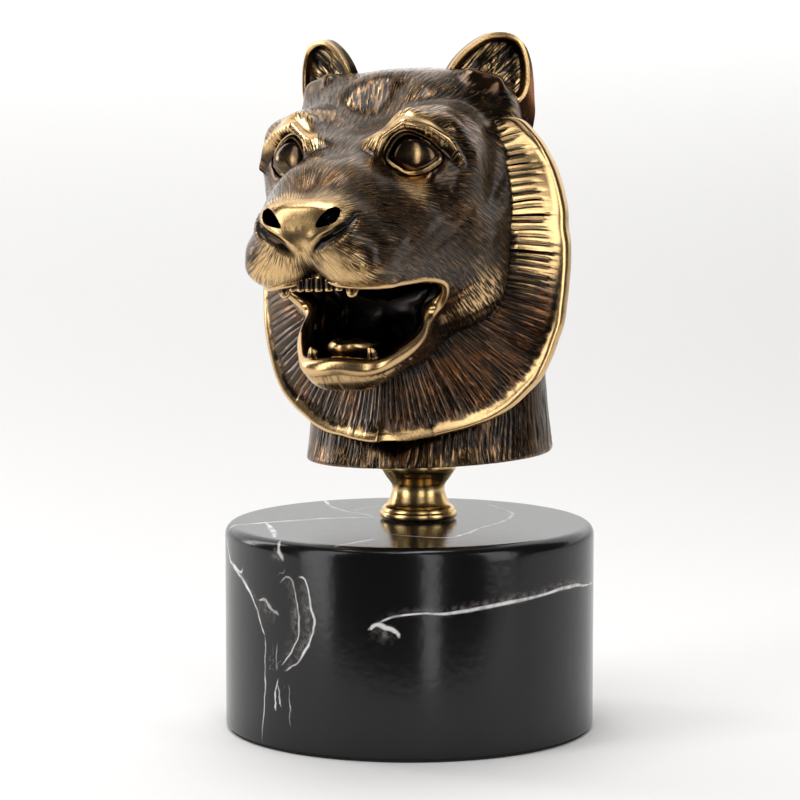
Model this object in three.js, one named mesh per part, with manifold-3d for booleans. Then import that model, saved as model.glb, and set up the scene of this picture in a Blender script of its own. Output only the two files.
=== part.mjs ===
// A tiger's head in cast bronze on a turned brass spool and a round black stone base.
// Millimetres, +Z up, the tiger looks along -Y and its left side is +X. The origin is the centre of the
// base's underside.
import * as THREE from "three";
import { mergeVertices } from "three/addons/utils/BufferGeometryUtils.js";
import Module from "manifold-3d";

const wasm = await Module();
wasm.setup();

// Base, foot pad and spool
const BASE_RADIUS = 42.5;
const BASE_TOP = 47.3;
const BASE_EDGE = 2.4;
const PAD_THICKNESS = 0.7;
const PAD_RADIUS = 41.9;
const SPOOL_Y = 6;
const SPOOL_RADIUS = 9;
const SPOOL_WAIST = 6.1;
const SPOOL_FLANGE = 9;

// The head leans a little to one side on the spool, about a level line that points at the front left
const NECK_BOTTOM = 61.7;
const NECK_Y = 13.6;
const LEAN_DEGREES = 2.3;
const LEAN_AXIS_DEGREES = 20;
const FIT_GAP = 0.3;

// Neck
const NECK_RADIUS = 28.9;
const NECK_WAIST_HALF_WIDTH = 27.3;
const NECK_WAIST_HALF_DEPTH = 23.5;
const NECK_SHIFT = 2.4;
const NECK_WAIST_Z = 86;
const NECK_TOP = 132;
const NECK_LOCKS = 28;
const NECK_LOCK_DEPTH = 0.55;
const NECK_LOCKS_END_Z = 104;

// Head: every form of the face is measured from this point inside the skull
const CORE = new THREE.Vector3(0, -4, 116);
const REACH = 75;
const FOLD_SOFTNESS = 1.2;
const FACE_ROWS = 29;
const FACE_COLUMNS = 54;

// Ruff: its rim seen from the front is a rounded outline about this centre
const RUFF_CENTRE_Z = 107;
const RUFF_HALF_WIDTH = 37.4;
const RUFF_DOWN = 38.7;
const RUFF_UP = 46.5;
const RUFF_UPPER_SQUARENESS = 2.15;
const RUFF_LOWER_SQUARENESS = 2.8;
const RUFF_BACK_Y = 12.5;
const RUFF_SWEEP = 33;
const RUFF_SWEEP_ANGLE = 52.7;
const RUFF_END_ANGLE = 152;
const RUFF_END_REACH = 30;
const RUFF_FADE_ANGLE = 134;
const RUFF_DISH_DEPTH = 5.5;
const RUFF_BIB_RISE = 21.5;
const RUFF_ROOT_RADIUS = 19;
const RUFF_BIB_ROOT_RADIUS = 13;
const RUFF_RIM_BEVEL = 0.3;
const RUFF_THICKNESS = 2.6;
const RUFF_FLUTES = 66;
const RUFF_FLUTE_DEPTH = 0.6;

// Eyes, ears, nostrils, teeth and tongue. Turns are in degrees.
const EYE = { centre: [14.4, -28.2, 132.8], outward: 24, up: 8, halfWidth: 7.3, halfHeight: 5.5 };
const EYE_BALL = { dome: 5.6, flat: 3.1, halfWidth: 8, halfHeight: 6.8 };
const EAR = {
  centre: [21, 10.6, 149],
  turn: 31,
  back: -4,
  outerWidth: 8,
  innerWidth: 12,
  height: 10.4,
  drop: 18,
  slant: 1.5,
  fullness: 0.6,
};
const NOSTRIL = { centre: [6.9, -59.6, 120.9], half: [2.9, 5, 2], roll: -24, turn: 28 };
const UPPER_CANINE = { root: [7.4, -50.5, 108.5], tip: [7, -51.8, 101.6], radius: 1.75 };
const LOWER_CANINE = { root: [7.2, -37.5, 86.2], tip: [6.9, -40.6, 92.6], radius: 1.6 };
const FRONT_TEETH = { places: [1.2, 3.4], root: [-53.2, 108.5], tip: [-53.7, 104.9], radius: 1.25 };
const TONGUE = { y: -25.5, z: 88.6, halfLength: 13, halfWidth: 7.4, halfHeight: 3.1, curl: 1.08 };
const FURROW = { depth: 1.1, width: 2.4 };
const LIP_ABOVE = 0.9;
const LIP_BELOW = 1.9;
const MOUTH_FRONT = [0, -37, 97.5];
const MOUTH_BACK = [0, -13, 99];

const toRadians = THREE.MathUtils.degToRad;
const clamp = THREE.MathUtils.clamp;
const lerp = THREE.MathUtils.lerp;
const smoothstep = THREE.MathUtils.smoothstep;
const BRONZE = new THREE.MeshStandardMaterial({ color: 0x6b4a25, roughness: 0.34, metalness: 1 });
const BRASS = new THREE.MeshStandardMaterial({ color: 0xb98b45, roughness: 0.28, metalness: 1 });
const STONE = new THREE.MeshStandardMaterial({ color: 0x0b0b0d, roughness: 0.12, metalness: 0 });
const FOAM = new THREE.MeshStandardMaterial({ color: 0x141414, roughness: 0.95, metalness: 0 });

// Distance from a point to an egg with the given half axes, near enough close to its skin. A squareness of
// two gives a true egg, and more than two fills out its corners.
function eggDistance([x, y, z], [cx, cy, cz], [rx, ry, rz], squareness) {
  const parts = [
    [Math.abs(x - cx), rx],
    [Math.abs(y - cy), ry],
    [Math.abs(z - cz), rz],
  ];
  const near = Math.pow(parts.reduce((sum, [d, r]) => sum + (d / r) ** squareness, 0), 1 / squareness);
  if (near < 1e-3) return -Math.min(rx, ry, rz);
  const slope = Math.hypot(...parts.map(([d, r]) => (d / r / near) ** (squareness - 1) / r));
  return (near - 1) / slope;
}

// Distance from a point to a limb that tapers from one ball to another
function limbDistance([x, y, z], [ax, ay, az], [bx, by, bz], startRadius, endRadius) {
  const px = x - ax;
  const py = y - ay;
  const pz = z - az;
  const qx = bx - ax;
  const qy = by - ay;
  const qz = bz - az;
  const along = clamp((px * qx + py * qy + pz * qz) / (qx * qx + qy * qy + qz * qz), 0, 1);
  const gap = Math.hypot(px - qx * along, py - qy * along, pz - qz * along);
  return gap - lerp(startRadius, endRadius, along);
}

// Union of two distances that runs them into each other over a width
function blendUnion(a, b, width) {
  const share = clamp(0.5 + (0.5 * (a - b)) / width, 0, 1);
  return lerp(a, b, share) - width * share * (1 - share);
}

const egg = (centre, half, blend, squareness = 2) => ({
  blend,
  distance: (p) => eggDistance(p, centre, half, squareness),
});
const limb = (from, to, startRadius, endRadius, blend) => ({
  blend,
  distance: (p) => limbDistance(p, from, to, startRadius, endRadius),
});

// The forms of the head. A form off the middle has its mirror image on the other side.
const FORMS = {
  cranium: egg([0, 10, 121], [26.4, 26, 30.6], 1, 2.6),
  neckRoot: limb([0, 12, 118], [0, 14.6, 93], 24, 23.4, 8),
  face: egg([0, -6, 115], [25, 30, 23], 6),
  forehead: egg([0, -13, 124], [18, 20, 16.4], 6),
  brow: egg([11.8, -15.5, 130.5], [10.6, 13.4, 12.4], 5),
  bridge: limb([2.6, -26, 127.4], [2.8, -42, 122.6], 9.6, 8.8, 5),
  snout: limb([2.8, -42, 122.6], [4, -53, 117.4], 8.8, 8.6, 4),
  muzzleRoot: limb([8, -43, 112], [9.5, -14, 112], 9.4, 13.5, 7),
  cheek: egg([13, -3, 103.5], [11.8, 11, 11.6], 6),
  cheekbone: egg([15, -17, 125], [8, 10, 8.6], 5),
  snoutSide: egg([8.4, -30, 117.5], [10.4, 15, 11.5], 6),
  temple: egg([16.4, -12, 132], [7.6, 12, 10], 5),
  muzzlePad: egg([7.9, -47.8, 111.8], [8.6, 10.3, 6.8], 2, 2.3),
  nosePad: egg([0, -55.6, 119.9], [8.2, 6, 5], 1.2, 3),
  noseWing: egg([6.4, -56.4, 120.4], [3.2, 4.5, 3.6], 1),
  noseTip: limb([0, -57.6, 118], [0, -58.3, 114], 4, 1.7, 1.2),
  mouthFill: egg([0, -31, 98], [15.6, 18, 13], 4),
  chin: egg([0, -35.6, 88.4], [7.5, 6.8, 6.2], 3),
  jaw: limb([3.6, -36.6, 88.3], [9, -23, 92], 5.9, 5.2, 3),
  jawRoot: egg([0, -14, 93], [13, 14, 10], 4),
  browInner: limb([6.8, -31.5, 135.2], [12.5, -26.2, 139], 2, 2.6, 4),
  browOuter: limb([12.5, -26.2, 139], [18.6, -21.4, 137], 2.6, 1.6, 5),
  browEnd: limb([18.6, -21.4, 137], [21.2, -18, 131.5], 1.6, 0.9, 6),
  earRoot: egg([20, 10, 141], [7.6, 7, 10], 4),
  earFold: egg([15.6, 5, 141.6], [8.6, 6.2, 9.8], 3),
};

// Hollows are taken out of the forms: the eye sockets, the dip between the brows, the dips round the
// nostrils and the groove of the lip
const HOLLOWS = {
  socket: egg([15, -32, 132.4], [6.2, 5.4, 4.8], 2),
  browDip: egg([0, -22, 148.5], [6, 18, 8.6], 6),
  nostrilDip: limb([9.9, -59.6, 119.6], [4.6, -61.4, 116], 1.3, 1, 1.4),
  nostrilCrease: limb([4.6, -61.4, 116], [1.4, -61, 112.4], 1, 0.9, 1.4),
  lipGroove: limb([0, -60.6, 112], [0, -58.6, 105], 1, 1.2, 1.6),
};

// Distance from a point to the skin of the head, negative inside. Both sides fold onto one, softly across
// the middle so that no crease shows there.
function headDistance(x, y, z) {
  const p = [Math.hypot(x, FOLD_SOFTNESS) - FOLD_SOFTNESS * 0.5, y, z];
  let distance = REACH;
  for (const form of Object.values(FORMS)) distance = blendUnion(distance, form.distance(p), form.blend);
  for (const hollow of Object.values(HOLLOWS)) {
    distance = -blendUnion(-distance, hollow.distance(p), hollow.blend);
  }
  return distance;
}

// The head's skin in a direction from the core, found by walking inwards
function headSkin(direction) {
  let far = REACH;
  for (let step = 0; step < 160 && far > 1; step += 1) {
    const p = direction.clone().multiplyScalar(far).add(CORE);
    const distance = headDistance(p.x, p.y, p.z);
    if (distance < 0.01) break;
    far -= Math.max(distance * 0.75, 0.02);
  }
  return direction.clone().multiplyScalar(far).add(CORE);
}

// Closed body over a grid of rows and columns. Columns run round and close on themselves. With poles the
// first and last rows are single points, and without them the rows close on themselves as on a ring. The
// squares are halved one way on the first half of the columns and the other way on the second half, so
// that a symmetric body has symmetric facets.
function gridGeometry(rows, columns, pointAt, poles = true) {
  const positions = [];
  const index = [];
  const ring = (row) => (poles ? 1 + (row - 1) * columns : (row % rows) * columns);
  const vertex = (row, column) => ring(row) + (column % columns);
  const last = rows - 1;
  for (let row = 0; row < rows; row += 1) {
    const single = poles && (row === 0 || row === last);
    for (let column = 0; column < (single ? 1 : columns); column += 1) {
      positions.push(...pointAt(row / (poles ? last : rows), column / columns, row, column).toArray());
    }
  }
  const tail = positions.length / 3 - 1;
  for (let column = 0; column < columns; column += 1) {
    if (poles) {
      index.push(0, vertex(1, column), vertex(1, column + 1));
      index.push(tail, vertex(last - 1, column + 1), vertex(last - 1, column));
    }
    for (let row = poles ? 1 : 0; row < (poles ? last - 1 : rows); row += 1) {
      const corners = [
        vertex(row, column),
        vertex(row + 1, column),
        vertex(row + 1, column + 1),
        vertex(row, column + 1),
      ];
      const [a, b, c, d] = column < columns / 2 ? corners : [corners[3], corners[0], corners[1], corners[2]];
      index.push(a, b, c, a, c, d);
    }
  }
  const geometry = new THREE.BufferGeometry();
  geometry.setAttribute("position", new THREE.Float32BufferAttribute(positions, 3));
  geometry.setIndex(index);
  return geometry;
}

// A closed geometry as a solid, turned right way out
function toSolid(geometry) {
  const bare = geometry.clone();
  bare.deleteAttribute("normal");
  bare.deleteAttribute("uv");
  const merged = mergeVertices(bare, 1e-4);
  const vertProperties = new Float32Array(merged.attributes.position.array);
  const triVerts = new Uint32Array(merged.index.array);
  const build = () => new wasm.Manifold(new wasm.Mesh({ numProp: 3, vertProperties, triVerts }));
  const first = build();
  if (first.volume() > 0) return first;
  for (let i = 0; i < triVerts.length; i += 3) {
    [triVerts[i + 1], triVerts[i + 2]] = [triVerts[i + 2], triVerts[i + 1]];
  }
  return build();
}

function toGeometry(solid) {
  const mesh = solid.getMesh();
  const geometry = new THREE.BufferGeometry();
  geometry.setAttribute("position", new THREE.BufferAttribute(mesh.vertProperties, mesh.numProp));
  geometry.setIndex(new THREE.BufferAttribute(mesh.triVerts, 1));
  return geometry;
}

const mirrored = (geometry) => geometry.clone().scale(-1, 1, 1);
const bothSides = (geometry) => [toSolid(geometry), toSolid(mirrored(geometry))];

// Face and skull: columns run from the tip of the nose round to the back of the head. The rows lie closer
// together over the muzzle, which is further from the core than the skull.
function faceAndSkull() {
  const rows = FACE_ROWS;
  const columns = FACE_COLUMNS;
  const crowding = 1.22;
  return gridGeometry(rows, columns, (u, v) => {
    const away = Math.PI * Math.pow(u, crowding);
    const round = v * Math.PI * 2;
    const direction = new THREE.Vector3(
      Math.sin(away) * Math.sin(round),
      -Math.cos(away),
      Math.sin(away) * Math.cos(round),
    );
    return headSkin(direction);
  });
}

// Neck: round below and flatter above, where its front lies further back, with long locks of hair down it
function neck() {
  const columns = NECK_LOCKS * 2;
  const heights = [NECK_BOTTOM, NECK_BOTTOM, NECK_BOTTOM + 1, 72, NECK_WAIST_Z, 108, NECK_TOP, NECK_TOP];
  const rows = heights.length;
  return gridGeometry(rows, columns, (u, v, row, column) => {
    const z = heights[row];
    const round = v * Math.PI * 2;
    if (row === 0 || row === rows - 1) return new THREE.Vector3(0, NECK_Y, z);
    const flare = Math.pow(clamp((NECK_WAIST_Z - z) / (NECK_WAIST_Z - NECK_BOTTOM), 0, 1), 1.6);
    const taper = smoothstep(z, NECK_WAIST_Z, NECK_TOP + 12);
    const edge = row === 1 ? 0.3 : 0;
    const fade = 1 - smoothstep(z, NECK_WAIST_Z, NECK_LOCKS_END_Z);
    const lock = fade * (column % 2) * NECK_LOCK_DEPTH * (0.6 + 0.4 * Math.sin(column * 2.3));
    const width = lerp(NECK_WAIST_HALF_WIDTH, NECK_RADIUS, flare) * (1 - 0.3 * taper) - edge - lock;
    const depth = lerp(NECK_WAIST_HALF_DEPTH, NECK_RADIUS, flare) * (1 - 0.3 * taper) - edge - lock;
    const middle = NECK_Y + NECK_SHIFT * (1 - flare);
    return new THREE.Vector3(width * Math.sin(round), middle - depth * Math.cos(round), z);
  });
}

// Distance from the ruff's centre out to its rim, at an angle from straight down
function ruffReach(angle) {
  const lower = Math.cos(angle) > 0;
  const squareness = lower ? RUFF_LOWER_SQUARENESS : RUFF_UPPER_SQUARENESS;
  const side = Math.abs(Math.sin(angle)) / RUFF_HALF_WIDTH;
  const down = Math.abs(Math.cos(angle)) / (lower ? RUFF_DOWN : RUFF_UP);
  const reach = Math.pow(side ** squareness + down ** squareness, -1 / squareness);
  const degrees = Math.abs(THREE.MathUtils.radToDeg(angle));
  return lerp(reach, RUFF_END_REACH, smoothstep(degrees, RUFF_FADE_ANGLE, RUFF_END_ANGLE));
}

// How far the ruff sweeps forward at an angle: not at all at the sides, and far under the chin
function ruffSweep(angle) {
  const degrees = Math.abs(THREE.MathUtils.radToDeg(angle));
  return Math.exp(-Math.pow(degrees / RUFF_SWEEP_ANGLE, 1.3));
}

// Ruff: a collar that stands out round the face from ear to ear, with radial flutes and a rounded rim.
// Each section runs from inside the head out over the front, round the rim and back into the neck.
function ruff() {
  const columns = RUFF_FLUTES * 2 + 1;
  const section = [
    { out: 0, front: 1, flute: 0 },
    { out: 0.3, front: 1, flute: 0.7 },
    { out: 0.62, front: 1, flute: 1 },
    { out: 0.9, front: 1, flute: 1 },
    { out: 1, front: 0.75, flute: 0.35, edge: true },
    { out: 1, front: 0.15, flute: 0, edge: true },
    { out: 0.72, front: -0.1, flute: 0 },
    { out: 0.1, front: -2.6, flute: 0 },
  ];
  return gridGeometry(
    section.length,
    columns,
    (u, v, row, column) => {
      const angle = toRadians(lerp(-RUFF_END_ANGLE, RUFF_END_ANGLE, column / (columns - 1)));
      const { out, front, flute, edge = false } = section[row];
      const sweep = ruffSweep(angle);
      const root = lerp(RUFF_ROOT_RADIUS, RUFF_BIB_ROOT_RADIUS, sweep);
      const rimY = RUFF_BACK_Y - RUFF_SWEEP * sweep;
      const rootY = RUFF_BACK_Y - RUFF_DISH_DEPTH - RUFF_BIB_RISE * sweep;
      const groove = flute * RUFF_FLUTE_DEPTH * (column % 2) * (0.75 + 0.25 * Math.sin(column * 1.7));
      const notched = edge ? groove + RUFF_RIM_BEVEL : 0;
      const reach = lerp(root, ruffReach(angle), out) - notched;
      const face = lerp(rootY, rimY, Math.pow(out, 1.5));
      const y = face + (1 - front) * RUFF_THICKNESS + (edge ? 0 : groove);
      return new THREE.Vector3(
        reach * Math.sin(angle),
        y,
        RUFF_CENTRE_Z - reach * Math.cos(angle),
      );
    },
    false,
  );
}

// Ear: a dish, its rim thick and its back bulging, turned outwards and leaning back a little. Its outer side
// is round and its inner side slants up to the tip. Below its middle it keeps its width, so that its outer
// edge runs straight down into the side of the head.
function ear() {
  const columns = 16;
  const facing = new THREE.Euler(toRadians(EAR.back), 0, toRadians(EAR.turn), "ZYX");
  const section = [
    { out: 0, ahead: -3.2 },
    { out: 0.45, ahead: -2.9 },
    { out: 0.78, ahead: -1.6 },
    { out: 0.93, ahead: 0.1 },
    { out: 0.985, ahead: 0.35 },
    { out: 1, ahead: -0.6 },
    { out: 0.97, ahead: -1.9 },
    { out: 0.8, ahead: -4.8 },
    { out: 0.4, ahead: -7 },
    { out: 0, ahead: -7.6 },
  ];
  return gridGeometry(section.length, columns, (u, v, row) => {
    const round = v * Math.PI * 2;
    const { out, ahead } = section[row];
    const upper = Math.cos(round) > 0;
    const outer = Math.sin(round) > 0;
    const slant = upper && !outer ? EAR.slant : 1;
    const wide = Math.pow(Math.abs(Math.sin(round)), upper ? slant : EAR.fullness);
    const high = Math.pow(Math.abs(Math.cos(round)), slant);
    const across = wide * out * (outer ? EAR.outerWidth : -EAR.innerWidth);
    const up = high * out * (upper ? EAR.height : -EAR.drop);
    return new THREE.Vector3(across, -ahead, up)
      .applyEuler(facing)
      .add(new THREE.Vector3(...EAR.centre));
  });
}

// Eye: a domed ball inside a rolled lid with pointed corners, set into its socket. The section runs from
// the middle of the ball over the lid and down into the head; rise is the height over the ball's dome.
function eye() {
  const columns = 18;
  const section = [
    { out: 0, rise: 0 },
    { out: 0.4, rise: 0 },
    { out: 0.68, rise: -0.3 },
    { out: 0.72, rise: 0.8 },
    { out: 0.85, rise: 0.9 },
    { out: 1, rise: -0.2 },
    { out: 0.9, rise: -6 },
    { out: 0, rise: -9 },
  ];
  const facing = new THREE.Euler(toRadians(-EYE.up), 0, toRadians(EYE.outward), "ZYX");
  return gridGeometry(section.length, columns, (u, v, row) => {
    const { out, rise } = section[row];
    const round = v * Math.PI * 2;
    const across = Math.sin(round) * EYE.halfWidth * out;
    const almond = Math.pow(Math.abs(Math.cos(round)), 0.25);
    const up = Math.cos(round) * almond * EYE.halfHeight * out;
    const fall = (across / EYE_BALL.halfWidth) ** 2 + (up / EYE_BALL.halfHeight) ** 2;
    const dome = EYE_BALL.dome * Math.sqrt(Math.max(1 - fall, 0.05)) - EYE_BALL.flat;
    return new THREE.Vector3(across, -(dome + rise), up)
      .applyEuler(facing)
      .add(new THREE.Vector3(...EYE.centre));
  });
}

// The line of the open lips, on the right of the middle from the upper lip round to the lower one
const LIPS = [
  [0, -56, 107.2],
  [4.5, -57.4, 106.2],
  [9.5, -56, 105.6],
  [13, -51, 105.3],
  [15.2, -41, 106],
  [17, -30, 106.3],
  [18, -23.5, 104.6],
  [17.2, -21.8, 99.5],
  [15, -23.5, 95.3],
  [13.2, -27, 91.6],
  [9.6, -34, 89.2],
  [5.4, -39.6, 88.1],
  [0, -42, 87.4],
];

// The closed lip line laid on the head's skin, as evenly spaced points
function lipLine(count) {
  const right = LIPS.map(([x, y, z]) => new THREE.Vector3(x, y, z));
  const left = right.slice(1, -1).reverse().map((p) => new THREE.Vector3(-p.x, p.y, p.z));
  const curve = new THREE.CatmullRomCurve3([...right, ...left], true, "centripetal");
  return curve
    .getSpacedPoints(count)
    .slice(0, count)
    .map((p) => headSkin(p.sub(CORE).normalize()));
}

// Mouth hollow: from outside the lips in past them to a rounded back wall
function mouthHollow() {
  const columns = 30;
  const lips = lipLine(columns);
  const front = new THREE.Vector3(...MOUTH_FRONT);
  const back = new THREE.Vector3(...MOUTH_BACK);
  const depths = [
    { deep: 0.18, across: 1.02, along: 0.86, tall: 1.02 },
    { deep: 0.5, across: 0.9, along: 0.45, tall: 0.98 },
    { deep: 0.82, across: 0.66, along: 0.2, tall: 0.72 },
  ];
  const rows = depths.length + 4;
  return gridGeometry(rows, columns, (u, v, row, column) => {
    if (row === 0) return front.clone().sub(CORE).multiplyScalar(1.9).add(CORE);
    if (row === rows - 1) return back.clone();
    const lip = lips[column].clone();
    if (row === 1) return lip.sub(CORE).multiplyScalar(1.35).add(CORE);
    if (row === 2) return lip;
    const { deep, across, along, tall } = depths[row - 3];
    const middle = front.clone().lerp(back, deep);
    return lip.sub(front).multiply(new THREE.Vector3(across, along, tall)).add(middle);
  });
}

// Rolled lip: a round bead along the lip line, thin above and full below
function lipBead() {
  const columns = 32;
  const sides = 5;
  const lips = lipLine(columns);
  return gridGeometry(
    sides,
    columns,
    (u, v, row, column) => {
      const here = lips[column];
      const before = lips[(column + columns - 1) % columns];
      const ahead = lips[(column + 1) % columns].clone().sub(before).normalize();
      const outward = here.clone().sub(CORE).normalize();
      const across = new THREE.Vector3().crossVectors(ahead, outward).normalize();
      const fullness = lerp(LIP_ABOVE, LIP_BELOW, smoothstep(-here.z, -106, -94));
      const turn = u * Math.PI * 2;
      return here
        .clone()
        .addScaledVector(outward, fullness * (Math.cos(turn) - 0.45))
        .addScaledVector(across, fullness * Math.sin(turn));
    },
    false,
  );
}

// Tooth: a cone with a rounded end, from its root to its tip
function tooth({ root, tip, radius }) {
  const axis = new THREE.Vector3(...tip).sub(new THREE.Vector3(...root));
  const profile = [
    [0, 0],
    [1, 0],
    [0.85, 0.5],
    [0.4, 0.9],
    [0, 1],
  ].map(([wide, high]) => new THREE.Vector2(wide * radius, high * axis.length()));
  const geometry = new THREE.LatheGeometry(profile, 6);
  const stand = new THREE.Quaternion().setFromUnitVectors(new THREE.Vector3(0, 1, 0), axis.normalize());
  return geometry.applyQuaternion(stand).translate(...root);
}

// Teeth: a pair of canines above and below and a row of small front teeth above
function teeth() {
  const front = FRONT_TEETH.places.map((x) => ({
    root: [x, ...FRONT_TEETH.root],
    tip: [x, ...FRONT_TEETH.tip],
    radius: FRONT_TEETH.radius,
  }));
  return [UPPER_CANINE, LOWER_CANINE, ...front].flatMap((shape) => bothSides(tooth(shape)));
}

// Tongue: a long low pad on the floor of the mouth, hollowed along the middle
function tongue() {
  return gridGeometry(8, 10, (u, v) => {
    const away = u * Math.PI;
    const round = v * Math.PI * 2;
    const along = -Math.cos(away);
    const x = TONGUE.halfWidth * Math.sin(away) * Math.sin(round);
    const furrow = FURROW.depth * Math.exp(-((x / FURROW.width) ** 2));
    const thick = (TONGUE.halfHeight - furrow) * Math.sin(away) * Math.cos(round);
    const z = TONGUE.z + TONGUE.curl * (along + 1) ** 2 + thick;
    return new THREE.Vector3(x, TONGUE.y + TONGUE.halfLength * along, z);
  });
}

// Nostril: a comma-shaped pit that runs in and back
function nostril() {
  const pit = new THREE.SphereGeometry(1, 8, 6);
  pit.scale(...NOSTRIL.half).rotateY(toRadians(NOSTRIL.roll)).rotateZ(toRadians(NOSTRIL.turn));
  return pit.translate(...NOSTRIL.centre);
}

function tigerHead() {
  const joined = [
    toSolid(neck()),
    toSolid(ruff()),
    ...bothSides(ear()),
  ].reduce((whole, piece) => whole.add(piece), toSolid(faceAndSkull()));
  const pits = [toSolid(mouthHollow()), ...bothSides(nostril())];
  const opened = pits.reduce((whole, pit) => whole.subtract(pit), joined);
  const details = [...bothSides(eye()), toSolid(lipBead()), toSolid(tongue()), ...teeth()];
  return toGeometry(details.reduce((whole, piece) => whole.add(piece), opened));
}

function lathe(profile, segments) {
  const points = profile.map(([radius, z]) => new THREE.Vector2(radius, z));
  return new THREE.LatheGeometry(points, segments).rotateX(Math.PI / 2);
}

// Quarter round from the side up to the top of a disc, as points of a profile
function edgeRound(radius, top, edge, steps) {
  return Array.from({ length: steps + 1 }, (_, i) => {
    const turn = ((i / steps) * Math.PI) / 2;
    return [radius - edge + edge * Math.cos(turn), top - edge + edge * Math.sin(turn)];
  });
}

function named(name, geometry, material) {
  const mesh = new THREE.Mesh(geometry, material);
  mesh.name = name;
  return mesh;
}

const ornament = new THREE.Group();

const padProfile = [[0, 0], [PAD_RADIUS, 0], [PAD_RADIUS, PAD_THICKNESS], [0, PAD_THICKNESS]];
ornament.add(named("foot_pad", lathe(padProfile, 40), FOAM));

const baseFoot = PAD_THICKNESS + 0.02;
const baseProfile = [
  [0, baseFoot],
  [BASE_RADIUS - 0.5, baseFoot],
  [BASE_RADIUS, baseFoot + 0.5],
  ...edgeRound(BASE_RADIUS, BASE_TOP, BASE_EDGE, 2),
  [0, BASE_TOP],
];
ornament.add(named("base", lathe(baseProfile, 48), STONE));

// Spool: a fat bead at the foot, a narrow waist and a flange that spreads under the neck. Its top is planed
// to the lean of the neck, with a fitting gap below it.
const spoolFoot = BASE_TOP + FIT_GAP;
const spoolProfile = [
  [0, spoolFoot],
  [SPOOL_RADIUS - 0.7, spoolFoot],
  [SPOOL_RADIUS - 0.15, spoolFoot + 0.4],
  [SPOOL_RADIUS, spoolFoot + 0.9],
  [SPOOL_RADIUS - 0.3, spoolFoot + 1.7],
  [SPOOL_RADIUS - 1.4, spoolFoot + 2.9],
  [SPOOL_RADIUS - 2, spoolFoot + 3.7],
  [SPOOL_WAIST + 0.4, spoolFoot + 4.9],
  [SPOOL_WAIST, spoolFoot + 6.5],
  [SPOOL_WAIST + 0.25, spoolFoot + 8],
  [SPOOL_FLANGE - 2.1, spoolFoot + 8.7],
  [SPOOL_FLANGE - 1.2, spoolFoot + 10],
  [SPOOL_FLANGE - 0.2, spoolFoot + 11.4],
  [SPOOL_FLANGE, spoolFoot + 12.2],
  [SPOOL_FLANGE, NECK_BOTTOM + 1],
  [0, NECK_BOTTOM + 1],
];
const leanAxis = new THREE.Vector3(
  Math.sin(toRadians(LEAN_AXIS_DEGREES)),
  -Math.cos(toRadians(LEAN_AXIS_DEGREES)),
  0,
);
const lean = new THREE.Matrix4().makeRotationAxis(leanAxis, toRadians(LEAN_DEGREES));
const neckPlace = new THREE.Vector3(0, NECK_Y, NECK_BOTTOM);
const aboveNeck = new THREE.BoxGeometry(60, 60, 10)
  .translate(0, 0, 5 - FIT_GAP)
  .applyMatrix4(lean)
  .translate(...neckPlace);
const spoolBlank = lathe(spoolProfile, 18).translate(0, SPOOL_Y, 0);
ornament.add(named("spool", toGeometry(toSolid(spoolBlank).subtract(toSolid(aboveNeck))), BRASS));

// The head is modelled upright about the neck's foot, and its group leans
const leaning = new THREE.Group();
leaning.position.copy(neckPlace);
leaning.setRotationFromMatrix(lean);
leaning.add(named("tiger_head", tigerHead().translate(...neckPlace.clone().negate()), BRONZE));
ornament.add(leaning);

export default ornament;
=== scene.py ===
"""A tiger's head in aged cast bronze on a turned brass spool and a round black stone base.

Lengths are in millimetres until a mesh is made. +Z is up, the tiger looks along -Y, and its left side is +X.
The head is shaped upright about the foot of its neck, and at the end it leans a little to one side.
"""

import sys

import logging
import math
from dataclasses import dataclass, field, replace
from enum import Enum
from functools import reduce
from typing import Optional, Sequence, Union

import bpy
import numpy as np
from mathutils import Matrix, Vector
from mathutils.kdtree import KDTree


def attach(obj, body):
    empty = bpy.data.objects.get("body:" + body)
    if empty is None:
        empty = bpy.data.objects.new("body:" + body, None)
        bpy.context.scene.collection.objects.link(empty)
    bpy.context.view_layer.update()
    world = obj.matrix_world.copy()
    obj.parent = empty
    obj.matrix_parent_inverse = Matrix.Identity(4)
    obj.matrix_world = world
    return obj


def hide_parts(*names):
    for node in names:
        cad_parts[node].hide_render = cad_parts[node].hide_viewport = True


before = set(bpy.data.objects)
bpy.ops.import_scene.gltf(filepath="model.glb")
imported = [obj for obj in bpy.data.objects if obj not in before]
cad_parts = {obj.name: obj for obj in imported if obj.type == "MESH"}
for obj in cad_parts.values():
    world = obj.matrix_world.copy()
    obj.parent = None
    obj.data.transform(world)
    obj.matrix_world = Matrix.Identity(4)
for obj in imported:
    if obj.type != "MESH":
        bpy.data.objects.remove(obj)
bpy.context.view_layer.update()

Array = np.ndarray
LOG = logging.getLogger("ornament")
METRES = 0.001
Place = tuple[float, float, float]
Line = tuple[Place, ...]
Outline = tuple[tuple[float, float], ...]


# Numbers and curves


def smoothstep(value: Array, low: float, high: float) -> Array:
    """Eased share of the way from low to high: three times its square less twice its cube."""
    share = np.clip((value - low) / (high - low), 0, 1)
    return share * share * (3 - 2 * share)


def unit(vectors: Array) -> Array:
    """Vectors of the same directions and length one."""
    return vectors / np.maximum(np.linalg.norm(vectors, axis=-1, keepdims=True), 1e-9)


def bell(value: Array, middle: float, half: float, power: float = 2) -> Array:
    """A bump of height one: e to minus a power of the distance from the middle over the half width."""
    return np.exp(-(np.abs((value - middle) / half) ** power))


def round_turns(count: int) -> Array:
    """Evenly spaced angles of a full turn, in radians."""
    return np.arange(count) / count * 2 * np.pi


def random_share(across: Array, along: Array, seed: float) -> Array:
    """A share from 0 to 1 that looks random: the broken part of a large multiple of a sine."""
    wave = np.sin(across * 127.1 + along * 311.7 + seed * 74.7) * 43758.5453
    return wave - np.floor(wave)


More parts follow.
